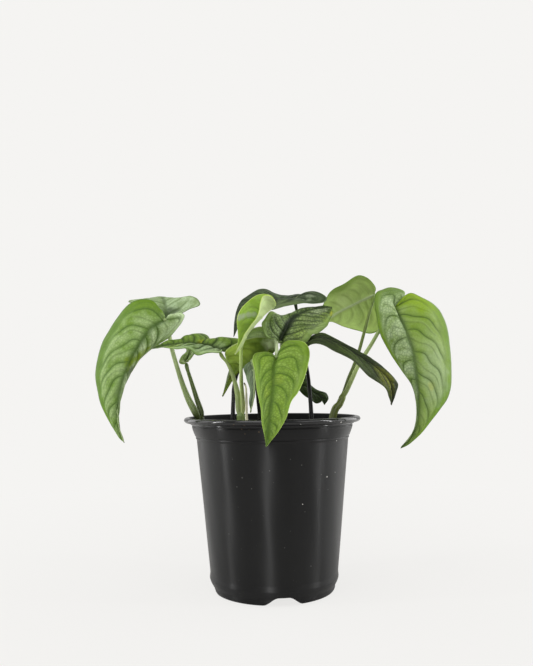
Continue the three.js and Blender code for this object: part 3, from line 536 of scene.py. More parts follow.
def blade_finish(name, leaf):
    """Both faces of a blade: veins with silver between them above, a paler, duller face below."""
    finish = Finish(name + "_blade", 0.42, leaf["gloss"])
    ahead, side, rib, phase, spacing, upper = finish.known(*BLADE_VALUES, "upper")
    out, right = abs(side), side.step(-0.06, 0.06)
    nearest = phase.sum("PINGPONG", 0.5)
    from_vein, from_minor = nearest * spacing, (0.5 - nearest) * spacing
    between, inside = nearest.step(0.0, 0.42), out.step(*VEINED)
    patchy, fine, uneven = finish.grain(9), finish.grain(1.6, 3.0), finish.grain(14).blend(0.4, 1.5)
    along_veins = finish.add("ShaderNodeCombineXYZ", {0: phase * leaf["streaks"], 1: side * 2.0})
    streaky = finish.noise(along_veins).step(0.3, 0.7)

    # Veins: a soft dark band and a narrow core along each, small veins between them and a fine net
    collector = abs(out - (between * 0.07 + 0.73)).step(0.09, 0.01) * rib.step(4.0, 12.0)
    soft = (from_vein.step(*VEIN_SHADE) * inside).larger(rib.step(*RIB_SHADE)).larger(collector * 0.6)
    core = (from_vein.step(*VEIN_CORE) * out.step(0.78, 0.6)).larger(rib.step(*RIB_CORE))
    minor = from_minor.step(*MINOR_VEIN) * out.step(0.7, 0.5) * 0.35
    mesh = finish.cells(NET_MESH).step(0.2, 0.02) * right.blend(*leaf["net"]) * inside
    soft_share = (soft * leaf["vein_strength"]).sum("MULTIPLY", uneven, clamp=True)
    core_share = (core * 0.6).larger(minor).sum("MULTIPLY", uneven, clamp=True)

    # The upper face: green, with silver that stops short of the margin and is broken by streaks
    reach = leaf["silver_reach"]
    silver = out.step(reach + 0.12, reach - 0.12) * patchy.step(0.1, 0.62) * between.blend(0.6, 1.0)
    silver = silver * right.blend(*leaf["silver_share"])
    silver = silver * (1.1 - right.blend(*leaf["streak"]) * (1.0 - streaky))
    green = fine.step(0.3, 0.75).mix(colour(leaf["green"], 0.94), colour(leaf["green"], 1.06))
    pale = right.mix(colour(leaf["silver"]), colour(leaf.get("silver_right", leaf["silver"])))
    face = silver.mix(green, pale)
    dull = patchy.step(0.3, 0.8).mix(colour(leaf["under"]), colour(leaf["under"], 0.9))
    # Stains, and patches of painted light and painted shade, laid on both faces
    for spot_ahead, spot_side, reach_ahead, reach_side, tone, strength in leaf["stains"]:
        along, across = (ahead - spot_ahead) / reach_ahead, (side - spot_side) / reach_side
        ragged = (along * along + across * across).sum("SQRT") + (patchy - 0.5) * 0.9
        share = ragged.step(1.0, 0.3) * strength
        face, dull = share.mix(face, colour(tone)), share.mix(dull, colour(tone))
    for share, vein in ((mesh, 1.0), (soft_share, 1.0), (core_share, 0.85)):
        face = share.mix(face, colour(leaf["vein"], vein))

    # The lower face, and what both share
    dull = (soft * 0.4).mix(dull, colour(leaf["under"], 0.8))
    dull = (rib.step(1.5, 0.5) * 0.8).mix(dull, colour(leaf["under_vein"]))
    margin = out.step(*MARGIN) * 0.8
    finish.set("Base Color", margin.mix(upper.mix(dull, face), colour(leaf["edge"])))
    finish.set("Roughness", fine * 0.16 + (0.46 - upper * 0.12))
    finish.bump(fine - finish.cells(SKIN_GRAIN).step(0.14, 0.0) * 0.8 + streaky * 1.2, 0.14, 0.6)
    return finish.material


def petiole_finish(name, shades):
    """A stalk: its shade changes from the foot up, with fine streaks along it and pale dots."""
    finish = Finish(name, 0.4, 0.25)
    (along,) = finish.known("along")
    streak = finish.grain(1.2, 3.0, stretch=0.12)
    shade, *others = [colour(code) for code in shades.split()]
    for step, other in enumerate(others):
        shade = along.step(step / len(others), (step + 1) / len(others)).mix(shade, other)
    shade = (streak.step(0.35, 0.75) * 0.6).mix(shade, (0.62, 0.66, 0.5, 1.0), "MULTIPLY")
    dots = finish.cells(2.4, "F1").step(0.16, 0.08) * 0.35
    finish.set("Base Color", dots.mix(shade, (0.5, 0.52, 0.3, 1.0)))
    finish.bump(streak, 0.12, 0.5)
    return finish.material


def sheath_finish():
    """Dry, papery and pale, with a dark tip."""
    finish = Finish("sheath_dry", 0.75, 0.3)
    (along,) = finish.known("along")
    streak = finish.grain(0.9, 4.0, stretch=0.06)
    shade = streak.step(0.3, 0.75).mix(colour("fffde2"), colour("f4ecc8"))
    finish.set("Base Color", along.step(0.94, 1.0).mix(shade, colour("3a3222")))
    finish.bump(streak, 0.2, 0.7)
    return finish.material


def crumb_finish(name, dark, light, size):
    finish = Finish(name, 0.9, 0.2)
    grain = finish.grain(size, 5.0)
    finish.set("Base Color", grain.step(0.3, 0.72).mix(colour(dark), colour(light)))
    finish.bump(grain, 0.6, 0.8)
    return finish.material


# Specks on the outside of the pot, by colour: turn in degrees from the front, height and size. The pale and
# the grey ones are dust, the brown ones are crumbs of soil. They lie on the outline given by its heights
# and radii
OUTLINE_HEIGHTS = [0, 9.5, 18, 142, 144.4, 152.2, 153, 154.7, 155.9, 157.8, 159.6, 162]
OUTLINE_RADII = [54, 59.2, 59.9, 70.8, 72.3, 75.2, 74.6, 75, 76.9, 81.9, 82.5, 79.6]
SPECKS = {
    "d6d4ce": [
        (43.6, 110.4, 0.5), (53.5, 113.2, 0.3), (52.5, 141.4, 0.35), (21.9, 88.8, 0.35), (46.0, 158.1, 0.6),
        (16.4, 157.8, 0.35),
    ],
    "545452": [
        (-22.9, 112.3, 0.5), (-27.6, 104.2, 0.45), (-16.0, 103.1, 0.45), (-2.7, 118.6, 0.4),
        (24.0, 82.0, 0.3), (-8.0, 80.0, 0.3), (12.0, 128.0, 0.3), (-38.0, 62.0, 0.3), (-30.0, 128.0, 0.35),
        (8.0, 52.0, 0.3), (37.6, 113.1, 0.35), (20.4, 122.6, 0.4), (45.4, 98.9, 0.35), (31.1, 33.6, 0.45),
    ],
    "5c4c38": [
        (-23.5, 158.0, 0.5), (-20.5, 154.0, 0.45), (-17.0, 157.5, 0.6), (-15.5, 153.5, 0.4),
        (-12.0, 156.0, 0.5), (-9.0, 151.7, 0.6), (-7.0, 155.0, 0.4), (-18.5, 150.0, 0.4), (-3.0, 153.0, 0.4),
        (3.0, 157.0, 0.4),
    ],
}


def pot_finish():
    """Black plastic with a soft sheen, glossier on the lip: a dusty bloom, a few specks, and the inside wall
    near-black as painted shade.
    """
    finish = Finish("pot_plastic", 0.4, 0.27)
    for name, value in (("Anisotropic", 0.9), ("Anisotropic Rotation", 0.25), ("Coat Roughness", 0.12)):
        finish.set(name, value)
    finish.set("Tangent", finish.add("ShaderNodeTangent", direction_type="RADIAL", axis="Z"))
    inside, glossy = finish.known("inside", "glossy")
    broad, fine = finish.grain(22, 3.0, stretch=0.35), finish.grain(0.9, 4.0)
    shade = broad.step(0.35, 0.75).mix(colour("09090a"), colour("0f0f0f"))
    shade = (finish.cells(9, "F1").step(0.07, 0.02) * 0.16).mix(shade, colour("787670"))
    place = finish.place()
    for code, specks in SPECKS.items():
        for turn, height, size in specks:
            angle = math.radians(turn - 90)
            radius = float(np.interp(height, OUTLINE_HEIGHTS, OUTLINE_RADII))
            spot = Vector((radius * math.cos(angle), radius * math.sin(angle), height)) * MM
            away = finish.add("ShaderNodeVectorMath", {0: place, 1: spot}, "Value", operation="DISTANCE")
            shade = away.step(size * 1.7 * MM, size * 0.5 * MM).mix(shade, colour(code))
    # Painted shade: the inside wall is coloured near-black, darker than the outside's plastic, because it
    # lies in shade
    finish.set("Base Color", inside.mix(shade, colour("010101")))
    finish.set("Coat Weight", glossy.blend(0.05, 0.55) * (1.0 - inside))
    finish.set("Roughness", inside.blend(glossy.blend(broad * 0.14 + 0.33, 0.17), 1.0))
    finish.bump(fine + broad * 3.0, 0.05, 0.3)
    return finish.material


# Curves and nets


def lengths(vectors):
    return np.linalg.norm(vectors, axis=-1)


def unit(vectors):
    """The vectors at length 1, and those of no length left as they are."""
    return vectors / np.maximum(lengths(vectors)[..., None], 1e-9)


def hump(value, width):
    """1 at 0, and falling off softly on both sides over about the width."""
    return np.exp(-((value / width) ** 2))


def smooth_step(low, high, value):
    """0 up to low, 1 from high, and a soft S between them."""
    x = np.clip((value - low) / (high - low), 0, 1)
    return x * x * (3 - 2 * x)


def spline(knots, shares):
    """Points at the given shares of the length of a smooth curve through the knots."""
    padded = np.vstack([2 * knots[0] - knots[1], knots, 2 * knots[-1] - knots[-2]])
    spans = len(knots) - 1
    place = np.linspace(0, spans, 60 * spans + 1)
    span = np.minimum(place.astype(int), spans - 1)
    x = (place - span)[:, None]
    before, start, end, after = (padded[span + k] for k in range(4))
    leave, arrive = 0.5 * (end - before), 0.5 * (after - start)
    bow, swing = 3 * (end - start) - 2 * leave - arrive, 2 * (start - end) + leave + arrive
    dense = start + leave * x + bow * x**2 + swing * x**3
    walked = np.concatenate([[0], np.cumsum(lengths(np.diff(dense, axis=0)))])
    wanted = np.asarray(shares) * walked[-1]
    return np.stack([np.interp(wanted, walked, dense[:, axis]) for axis in range(3)], 1)


def wobble(points, length, seed):
    """A smooth, irregular field of about -1 to 1 whose waves are about as long as length."""
    draw = np.random.default_rng(seed)
    total = 0
    for _ in range(6):
        wave = unit(draw.normal(size=3)) * ROUND / (length * draw.uniform(0.7, 1.6))
        total = total + np.sin(points @ wave + draw.uniform(0, ROUND))
    return total / 3.2


def quads(a, b, c, d):
    """Two triangles for each four points that follow each other around a face."""
    return np.concatenate([np.stack([a, b, c], -1).reshape(-1, 3), np.stack([a, c, d], -1).reshape(-1, 3)])


def net_triangles(rows, columns, wrapped=False):
    """Triangles of a net of rows by columns of points, counted row by row. A wrapped net closes sideways."""
    row = np.arange(rows - 1)[:, None] * columns
    column = np.arange(columns if wrapped else columns - 1)[None, :]
    beside = (column + 1) % columns
    return quads(row + column, row + columns + column, row + columns + beside, row + beside)


def whole(triangles):
    """Which triangles have three different corners."""
    a, b, c = triangles.T
    return (a != b) & (b != c) & (c != a)


def normals_of(points, triangles):
    """Normals of the points, from the triangles around each, weighted by their area."""
    a, b, c = (points[triangles[:, k]] for k in range(3))
    sums = np.zeros_like(points)
    for k in range(3):
        np.add.at(sums, triangles[:, k], np.cross(b - a, c - a))
    return unit(sums)


class Shape:
    """Points in millimetres, triangles, the number of each one's finish, and named values of its corners."""

    def __init__(self, points, triangles, values=(), finish=0):
        self.points, self.triangles = points, triangles
        self.finish = np.full(len(triangles), finish)
        self.values = {name: np.asarray(value, float)[triangles] for name, value in dict(values).items()}

    def add(self, other):
        """Joins another shape to this one. A corner that lacks a value gets 0."""
        self.triangles = np.concatenate([self.triangles, other.triangles + len(self.points)])
        self.points = np.concatenate([self.points, other.points])
        for name in {**self.values, **other.values}:
            parts = [one.values.get(name, np.zeros((len(one.finish), 3))) for one in (self, other)]
            self.values[name] = np.concatenate(parts)
        self.finish = np.concatenate([self.finish, other.finish])
        return self

    def merge(self, same):
        """Points that stand in one place become one, and the triangles that collapse go."""
        triangles = same[self.triangles]
        kept = whole(triangles)
        used, numbers = np.unique(triangles[kept], return_inverse=True)
        self.points, self.triangles = self.points[used], numbers.reshape(-1, 3)
        self.finish = self.finish[kept]
        self.values = {name: value[kept] for name, value in self.values.items()}
        return self

    def mesh(self, name):
        mesh = bpy.data.meshes.new(name)
        mesh.from_pydata((self.points * MM).tolist(), [], self.triangles.tolist())
        mesh.polygons.foreach_set("material_index", self.finish.astype(np.int32))
        for value_name, value in self.values.items():
            layer = mesh.attributes.new(value_name, "FLOAT", "CORNER")
            layer.data.foreach_set("value", value.astype(np.float32).ravel())
        mesh.validate()
        return mesh

    def piece(self, name, node, slot, materials, sharp=None, drills=None):
        """This shape as a piece that rides with the plant's one body and stands for the node, if any."""
        piece = linked(name, self.mesh(name))
        for material in materials:
            piece.data.materials.append(material)
        if drills:
            piece.data = drilled(piece, drills)
        piece.data.shade_smooth()
        if sharp:
            piece.data.set_sharp_from_angle(angle=math.radians(sharp))
        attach(piece, "root")
        if node:
            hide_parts(node)


def linked(name, data):
    """A Blender object in the scene."""
    made = bpy.data.objects.new(name, data)
    bpy.context.scene.collection.objects.link(made)
    return made


def drilled(piece, drills):
    """The piece's mesh with the shape of the drills cut out."""
    cutter = linked("drills", drills.mesh("drills"))
    cut = piece.modifiers.new("drain_holes", "BOOLEAN")
    cut.operation, cut.solver, cut.object = "DIFFERENCE", "EXACT", cutter
    view = bpy.context.evaluated_depsgraph_get()
    mesh = bpy.data.meshes.new_from_object(piece.evaluated_get(view))
    piece.modifiers.clear()
    bpy.data.objects.remove(cutter)
    return mesh


def closed(rings, values=(), finish=0, outward=True):
    """A closed shape of rings of points, with values for each ring. The first and the last become a point."""
    rows, columns = rings.shape[:2]
    numbers = np.arange(rows * columns).reshape(rows, columns)
    numbers[0], numbers[-1] = numbers[0, 0], numbers[-1, 0]
    triangles = net_triangles(rows, columns, wrapped=True)
    values = {name: np.repeat(value, columns) for name, value in dict(values).items()}
    turned = triangles[:, ::-1] if outward else triangles
    return Shape(rings.reshape(-1, 3), turned, values, finish).merge(numbers.ravel())


def circle(sides):
    return np.arange(sides) * ROUND / sides


def tube(path, radii, sides=STALK_SIDES, finish=0):
    """A closed round tube along path points, with a radius for each."""
    across = np.array([1.0, 0.0, 0.0])
    rings = []
    turns = circle(sides)[:, None]
    for centre, tangent, radius in zip(path, unit(np.gradient(path, axis=0)), radii):
        across = unit(across - tangent * (across @ tangent))
        rings.append(centre + radius * (np.cos(turns) * across + np.sin(turns) * np.cross(tangent, across)))
    ends = [np.repeat([end], sides, axis=0) for end in (path[0], path[-1])]
    along = [0, *np.linspace(0, 1, len(path)), 1]
    return closed(np.array([ends[0], *rings, ends[1]]), {"along": along}, finish)


# Leaves


def steepness(net, field):
    """How much a field over a net changes in one millimetre, whichever way it changes most."""
    down, across = np.gradient(net, axis=0), np.gradient(net, axis=1)
    fall, turn = np.gradient(field, axis=0), np.gradient(field, axis=1)
    dd, cc, dc = (down**2).sum(2), (across**2).sum(2), (down * across).sum(2)
    area = np.maximum(dd * cc - dc**2, 1e-6)
    return np.sqrt(np.maximum((cc * fall**2 - 2 * dc * fall * turn + dd * turn**2) / area, 0))


def blade_net(leaf):
    """The middle sheet of a blade as one net from margin to margin, and what is known of each point: its
    share of the way to the tip, its share of the way out to the margin (below 0 in the left half), its
    distance from the midrib, its place among the side veins and their distance apart."""
    ahead = np.linspace(0, 1, BLADE_ROWS + 1)
    out = np.linspace(0, 1, BLADE_COLUMNS + 1) ** RIB_CROWDING
    junction, tip = leaf["petiole"][-1:], leaf["midrib"][-1:]
    rib_shares = np.clip((ahead - BASAL_FAN) / (1 - BASAL_FAN), 0, 1) ** VEIN_SWEEP
    rib = spline(np.concatenate([junction, leaf["midrib"]]), rib_shares)
    halves = []
    for half, sign, arch in zip(("left", "right"), (1, -1), leaf["arch"]):
        edge = spline(np.concatenate([junction, leaf[half], tip]), ahead)
        outward = edge - rib
        rise = sign * unit(np.cross(outward, np.gradient(edge, axis=0)))
        height = arch * lengths(outward)[:, None, None] * (4 * out * (1 - out))[None, :, None]
        halves.append(rib[:, None] + outward[:, None] * out[None, :, None] + rise[:, None] * height)
    net = np.concatenate([halves[0][:, :0:-1], halves[1]], 1)
    side, ahead = np.meshgrid(np.concatenate([-out[:0:-1], out]), ahead)
    left = side < 0
    curl = np.where(left, *leaf["slant"]) * abs(side) + 0.8 * (abs(side) / COLLECTOR) ** 3.5
    order = ahead - VEIN_BEND * ahead * (1 - ahead) * curl
    order = np.sign(order) * np.abs(order) ** VEIN_CROWDING
    phase = leaf["veins"] * order + np.where(left, 0.0, VEIN_OFFSET) + 0.22 * wobble(net, 26, leaf["seed"])
    spacing = np.clip(1 / np.maximum(steepness(net, phase), 1e-3), 0.5, 40)
    known = dict(zip(BLADE_VALUES, (ahead, side, lengths(net - rib[:, None]), phase, spacing)))
    return net, known, np.abs(phase - np.round(phase)) * spacing


def blade_relief(net, known, from_vein, leaf):
    """How far each point of a blade stands out of its smooth sheet: veins sunk, the field between them
    swollen, the margin waved."""
    ahead, signed, rib, phase, spacing = known.values()
    side, slim, quilt = np.abs(signed), np.clip(spacing / 8, 0, 1), leaf["quilt"]
    room = np.clip(rib / 5, 0, 1) * (1 - smooth_step(0.6, 0.9, side))
    swell = quilt * np.abs(np.sin(math.pi * phase)) ** 0.8 * room * slim
    collector = 0.3 * quilt * hump(side - COLLECTOR, 0.06) * np.clip(rib / 12, 0, 1)
    side_vein = 0.3 * hump(from_vein, 1.2) * (1 - smooth_step(0.6, 0.8, side)) * slim
    midrib = RIB_GROOVE * hump(rib, 2.3) * (1 - 0.6 * ahead)
    height, count = leaf["waves"]
    waves = height * side**2.5 * np.sin(ROUND * count * ahead + 2.0 * np.sign(signed))
    waves = waves * smooth_step(0.04, 0.2, ahead) * (1 - smooth_step(0.8, 0.98, ahead))
    crumple = 0.25 * wobble(net, 16, leaf["seed"] + 1) * np.clip(rib / 8, 0, 1)
    fine = 0.10 * quilt * wobble(net, 4.5, leaf["seed"] + 2) * np.clip(rib / 4, 0, 1)
    return swell - collector - side_vein - midrib + waves + crumple + fine


def blade_shape(leaf):
    """A closed blade: the sheet moved to either side, alike in its triangles, with a rounded rim."""
    net, known, from_vein = blade_net(leaf)
    rows, columns, _ = net.shape
    numbers = np.arange(rows * columns).reshape(rows, columns)
    same = numbers.copy()
    same[0] = same[known["ahead"][:, 0] <= BASAL_FAN, BLADE_COLUMNS] = numbers[0, BLADE_COLUMNS]
    same[-1] = numbers[-1, BLADE_COLUMNS]
    same = same.ravel()
    triangles = net_triangles(rows, columns)
    triangles = triangles[whole(same[triangles])]

    def normals(points):
        return normals_of(points, same[triangles])[same]

    flat = net.reshape(-1, 3)
    relief = blade_relief(net, known, from_vein, leaf).reshape(-1, 1)
    flat = (flat + normals(flat) * relief)[same]
    up, half = normals(flat), BLADE_THICKNESS / 2
    ridge = (0.95 - 0.8 * known["ahead"]) * hump(known["rib"], 1.2)
    side_ridge = 0.16 * hump(from_vein, 0.8) * (1 - 0.8 * np.abs(known["side"]))
    lower = flat - up * (half + ridge + side_ridge).reshape(-1, 1)

    outline = np.concatenate([numbers[:, 0], numbers[::-1, -1][1:-1]])
    inner = np.clip(outline + np.where(outline % columns == 0, 1, -1), 0, len(flat) - 1)
    edge = flat[outline] + unit(flat[outline] - flat[same[inner]]) * half
    ends = (outline == numbers[0, 0]) | (outline == numbers[-1, 0])
    edge[ends] = flat[outline[ends]]
    count, ring = len(flat), np.arange(len(outline))
    rim, onward = 2 * count + ring, (ring + 1) % len(outline)
    parts = [
        triangles, triangles[:, ::-1] + count, quads(outline[onward], outline, rim, rim[onward]),
        quads(rim[onward], rim, count + outline, count + outline[onward]),
    ]
    values = {name: value.ravel() for name, value in known.items()}
    values = {name: np.concatenate([value, value, value[outline]]) for name, value in values.items()}
    values["upper"] = np.repeat([1.0, 0.0, 0.5], [count, count, len(outline)])
    shape = Shape(np.concatenate([flat + up * half, lower, edge]), np.concatenate(parts), values)
    return shape.merge(np.concatenate([same, same + count, rim]))


def petiole_shape(leaf):
    """The stalk of a leaf: a sheath that clasps its stem, a taper, and a small knee below the blade."""
    path, clasp = leaf["petiole"], 0.0
    if leaf["stem"]:
        line = STEMS[leaf["stem"]][0]
        low = path[0, 2] - CLASP
        start = [np.interp(low, line[:, 2], line[:, axis]) for axis in (0, 1)]
        path = np.concatenate([[[*start, low]], path])
        clasp = lengths(path[1] - path[0])
    long = lengths(np.diff(spline(path, np.linspace(0, 1, STALK_STEPS)), axis=0)).sum()
    shares = np.linspace(0, 1 - STALK_END / long, STALK_STEPS)
    path = spline(path, shares)
    foot, top = leaf["radius"]
    from_foot, from_top = shares * long - clasp, (shares[-1] - shares) * long
    radii = foot + (top - foot) * np.clip(from_foot / (long - clasp), 0, 1)
    radii = radii + leaf["sheath"] * hump(np.maximum(from_foot, 0), SHEATH_LENGTH)
    if leaf["stem"]:
        radii = radii * smooth_step(-clasp - 4, 2, from_foot)
    radii = (radii + 0.35 * hump(from_top - 3.5, 3.2)) * np.sqrt(np.clip(from_top / 1.5, 0.12, 1))
    sway = unit(np.gradient(path, axis=0))[:, [1, 2, 0]] * wobble(path, 14, leaf["seed"])[:, None]
    return tube(path + 0.12 * sway, radii, finish=1)


def make_leaf(name, leaf):
    finishes = [blade_finish(name, leaf), petiole_finish(name + "_petiole", leaf["shades"])]
    blade_shape(leaf).add(petiole_shape(leaf)).piece(name, "leaf_" + name, leaf["slot"], finishes)


def make_stem(name, path, radius, shades, slot):
    """A short upright stem, ringed with the scars of old leaves."""
    shares = np.linspace(0, 1, STALK_STEPS)
    foot, top = radius
    scars = sum(hump(shares - place, 0.03) for place in SCAR_PLACES)
    radii = (foot + (top - foot) * shares + 0.15 * scars) * np.sqrt(np.clip((1 - shares) / 0.15, 0.05, 1))
    shape = tube(spline(path, shares), radii, STEM_SIDES)
    shape.piece(name + "_fine", name, slot, [petiole_finish(name, shades)])


def make_dried_sheath():
    """A dead leaf sheath, curled along its length like thin paper."""
    steps, arc = SHEATH_STEPS, SHEATH_ARC
    shares = np.linspace(0, 1, steps)
    path = spline(SHEATH_PATH, shares)
    foot, top = SHEATH_RADIUS
    radii = (foot + (top - foot) * shares**1.3) * (1 + 0.12 * wobble(path, 12, 31))
    tangents = unit(np.gradient(path, axis=0))
    across = unit(np.cross(tangents, [0.0, 1.0, 0.0]))
    turn = SHEATH_START + SHEATH_TWIST * shares[:, None] + np.linspace(0, SHEATH_SWEEP, arc)
    opening = 1 + SHEATH_OPENING * np.linspace(0, 1, arc)
    around = np.cos(turn)[..., None] * across[:, None]
    around = around + np.sin(turn)[..., None] * np.cross(tangents, across)[:, None]
    outer = path[:, None] + around * (radii[:, None] * opening)[..., None]
    net = np.concatenate([outer, (outer - around * SHEATH_THICKNESS)[:, ::-1]], 1)
    columns, step = 2 * arc, np.arange(arc - 1)
    foot_end = quads(step, step + 1, columns - 2 - step, columns - 1 - step)
    top_end = foot_end + (steps - 1) * columns
    triangles = [net_triangles(steps, columns, wrapped=True)[:, ::-1], foot_end[:, ::-1], top_end]
    shape = Shape(net.reshape(-1, 3), np.concatenate(triangles), {"along": np.repeat(shares, columns)})
    shape.piece("sheath", "dried_sheath", "sheath", [sheath_finish()], sharp=50)


# Pot


def rounded(corners):
    """A profile whose corners are rounded by short curves."""
    line = [corners[0]]
    for before, corner, after in zip(corners, corners[1:], corners[2:]):
        start, end = (
            corner + (other - corner) * min(CORNER_SHARE, CORNER_ROUNDING / lengths(other - corner))
            for other in (before, after)
        )
        for x in (0, 0.25, 0.5, 0.75, 1):
            line.append((1 - x) ** 2 * start + 2 * x * (1 - x) * corner + x * x * end)
    return np.array([*line, corners[-1]])


def pot_profile():
    """The pot's outline from the middle of its underside, over the lip, to the middle of its floor."""
    foot, lip, top, low, high = FOOT_RADIUS, RIM_RADIUS, WALL_TOP_RADIUS, WALL_FOOT_RADIUS, POT_HEIGHT
    outside = [
        (0, FLOOR_UNDERSIDE), (foot - FOOT_WIDTH - 1, FLOOR_UNDERSIDE), (foot - FOOT_WIDTH, 0), (foot, 0),
        (foot + 2, 0.9), (foot + 3, 3), (foot + 3.3, 6), (foot + 5.2, 9.5), (low + 0.5, 13),
        (low, WALL_FOOT_HEIGHT), (top, 141.4), (top + 0.9, 142.6), (top + 0.8, 143.3), (top + 0.45, 143.6),
        (top + 1.5, 144.9), (top + 2.4, 147.2), (top + 3.6, 150.4), (top + 4.4, 153.4), (top + 4.0, 154.0),
        (top + 4.2, 154.8), (top + 5.5, 155.3), (top + 5.3, 156.2), (lip - 5.4, 156.4), (lip - 2.2, 156.9),
        (lip - 0.6, 157.9), (lip, 159.6), (lip - 0.9, 161.3), (lip - 2.9, high),
    ]
    inside = [
        (lip - 5.5, high - 0.5), (lip - 6.8, high - 2.2), (top + 3.4, 156), (top + 2.2, 152),
        (top - 0.6, 144), (top - WALL_THICKNESS, WALL_TOP_HEIGHT - 1),
        (low - WALL_THICKNESS, WALL_FOOT_HEIGHT), (low - WALL_THICKNESS, FLOOR_TOP + 3), (low - 4, FLOOR_TOP),
        (0, FLOOR_TOP),
    ]
    corners = rounded(np.array(outside + inside, float))
    lines = [corners[:1]]
    for start, end in zip(corners, corners[1:]):
        parts = max(1, int(abs(end[1] - start[1]) / WALL_ROW))
        lines.append(start + (end - start) * (np.arange(1, parts + 1) / parts)[:, None])
    return np.concatenate(lines)


def pot_shape():
    """The profile turned round the axis, slightly wavy as blown walls are, with its foot's drain arches."""
    profile, turns = pot_profile(), circle(POT_SIDES)
    level, radius, height = profile[:, 1], profile[:, :1], profile[:, 1:] * np.ones(POT_SIDES)
    smooth_wall = smooth_step(6, 24, height) * (1 - smooth_step(134, 150, height)) * (radius > 20)
    ripple = sum(deep * np.sin(waves * turns + turn + twist * height) for deep, waves, turn, twist in RIPPLES)
    radius = radius + ripple * smooth_wall
    for turn in DRAIN_TURNS:
        under = (height < ARCH_HEIGHT) & (np.cos(turns - turn) > 0) & (radius > FOOT_RADIUS - 10)
        across = np.abs(radius * np.sin(turns - turn))
        arch = ARCH_HEIGHT * (1 - smooth_step(ARCH_FLAT / 2, ARCH_WIDTH / 2, across))
        height = np.where(under, np.maximum(height, np.minimum(arch, FLOOR_UNDERSIDE - 0.4)), height)
    inside = smooth_step(2, 5, np.arange(len(level)) - np.argmax(level))
    glossy = np.minimum(smooth_step(157.3, 158.6, level) + hump(level - 155.7, 0.5), 1)
    rings = np.stack([radius * np.cos(turns), radius * np.sin(turns), height], -1)
    return closed(rings, {"inside": inside, "glossy": glossy})


def make_pot():
    drills = []
    for turn in DRAIN_TURNS:
        x, y = DRAIN_HOLE_REACH * math.cos(turn), DRAIN_HOLE_REACH * math.sin(turn)
        line = np.array([(x, y, FLOOR_UNDERSIDE + rise) for rise in (-3, 1, 5)])
        drills.append(tube(line, [DRAIN_HOLE_RADIUS] * 3, sides=40))
    drills = reduce(Shape.add, drills)
    pot_shape().piece("nursery_pot", "pot", "pot", [pot_finish()], sharp=40, drills=drills)


# Soil


def soil_level(x, y):
    """Height of the loose soil's surface, without its crumbs."""
    broad = np.sin(0.11 * x + 0.7) * np.cos(0.09 * y - 0.4)
    fine = np.sin(0.37 * x + 0.23 * y) * np.cos(0.31 * y - 0.19 * x)
    return SOIL_HEIGHT + SOIL_RELIEF * (0.6 * broad + 0.4 * fine)


def soil_shape():
    turns = circle(SOIL_SPOKES)
    radii = np.concatenate([[SOIL_CENTRE], np.linspace(0, SOIL_RADIUS, SOIL_RINGS)[1:]])[:, None]
    x, y = radii * np.cos(turns), radii * np.sin(turns)
    flat = np.stack([x, y, np.zeros_like(x)], -1)
    crumbs = 0.5 * wobble(flat, 7, 41) + 0.5 * wobble(flat, 3.2, 42) + 0.35 * wobble(flat, 1.9, 43)
    flat[..., 2] = soil_level(x, y) + crumbs * (1 - smooth_step(66, 70.5, radii))
    wall = [
        np.stack([radius * np.cos(turns), radius * np.sin(turns), np.full(SOIL_SPOKES, height)], -1)
        for radius, height in [*SOIL_WALL, (SOIL_CENTRE, SOIL_WALL[-1][1])]
    ]
    return closed(np.concatenate([flat, wall]), outward=False)


def planted_places():
    """Where the stems, the dried sheath and the petioles that start in the soil go into it."""
    paths = [path for path, *_ in STEMS.values()] + [leaf["petiole"] for leaf in LEAVES.values()]
    starts = [path[0] for path in [SHEATH_PATH, *paths]]
    return [(x, y) for x, y, height in starts if height == PLANTED_HEIGHT]


def unit_ball():
    """Points and triangles of a ball of few faces, to be stretched and roughened into a crumb."""
    ball = bmesh.new()
    bmesh.ops.create_icosphere(ball, subdivisions=2, radius=1.0)
    points = np.array([corner.co[:] for corner in ball.verts])
    triangles = np.array([[corner.index for corner in face.verts] for face in ball.faces])
    ball.free()
    return points, triangles


def scatter(finish, count, sizes, flatness, roughness, seed):
    """Crumbs of one kind, strewn over the soil and sunk a little into it, clear of the stalks."""
    draw = np.random.default_rng(seed)
    ball, triangles = unit_ball()
    planted = planted_places()
    crumbs = []
    while len(crumbs) < count:
        radius, turn = CRUMB_REACH * math.sqrt(draw.uniform()), draw.uniform(0, ROUND)
        x, y = radius * math.cos(turn), radius * math.sin(turn)
        size = draw.uniform(*sizes)
        if any(math.hypot(x - stalk_x, y - stalk_y) < CRUMB_CLEARANCE + size for stalk_x, stalk_y in planted):
            continue
        stretch = size * np.array([1, draw.uniform(0.45, 0.8), flatness * draw.uniform(0.7, 1.3)])
        points = ball * stretch * (1 + roughness * draw.uniform(-1, 1, (len(ball), 1)))
        tilt, spin = draw.normal(0, 0.35), draw.uniform(0, ROUND)
        turned = np.array(Matrix.Rotation(spin, 3, "Z") @ Matrix.Rotation(tilt, 3, "X"))
        place = (x, y, soil_level(x, y) + 0.25 * stretch[2])
        crumbs.append(Shape(points @ turned.T + place, triangles, finish=finish))
    return reduce(Shape.add, crumbs)


# Crumbs: number, sizes, flatness, roughness and seed of their draws, then colours and the size of their grain
CRUMBS = {
    "bark": ((230, (1.6, 4.6), 0.34, 0.12, 51), ("3c2618", "805a3c", 1.6)),
    "peat": ((420, (0.7, 1.9), 0.6, 0.2, 52), ("1e1610", "463424", 1.0)),
    "perlite": ((70, (0.8, 1.9), 0.8, 0.12, 53), ("c6c2b8", "eeece6", 0.9)),
}


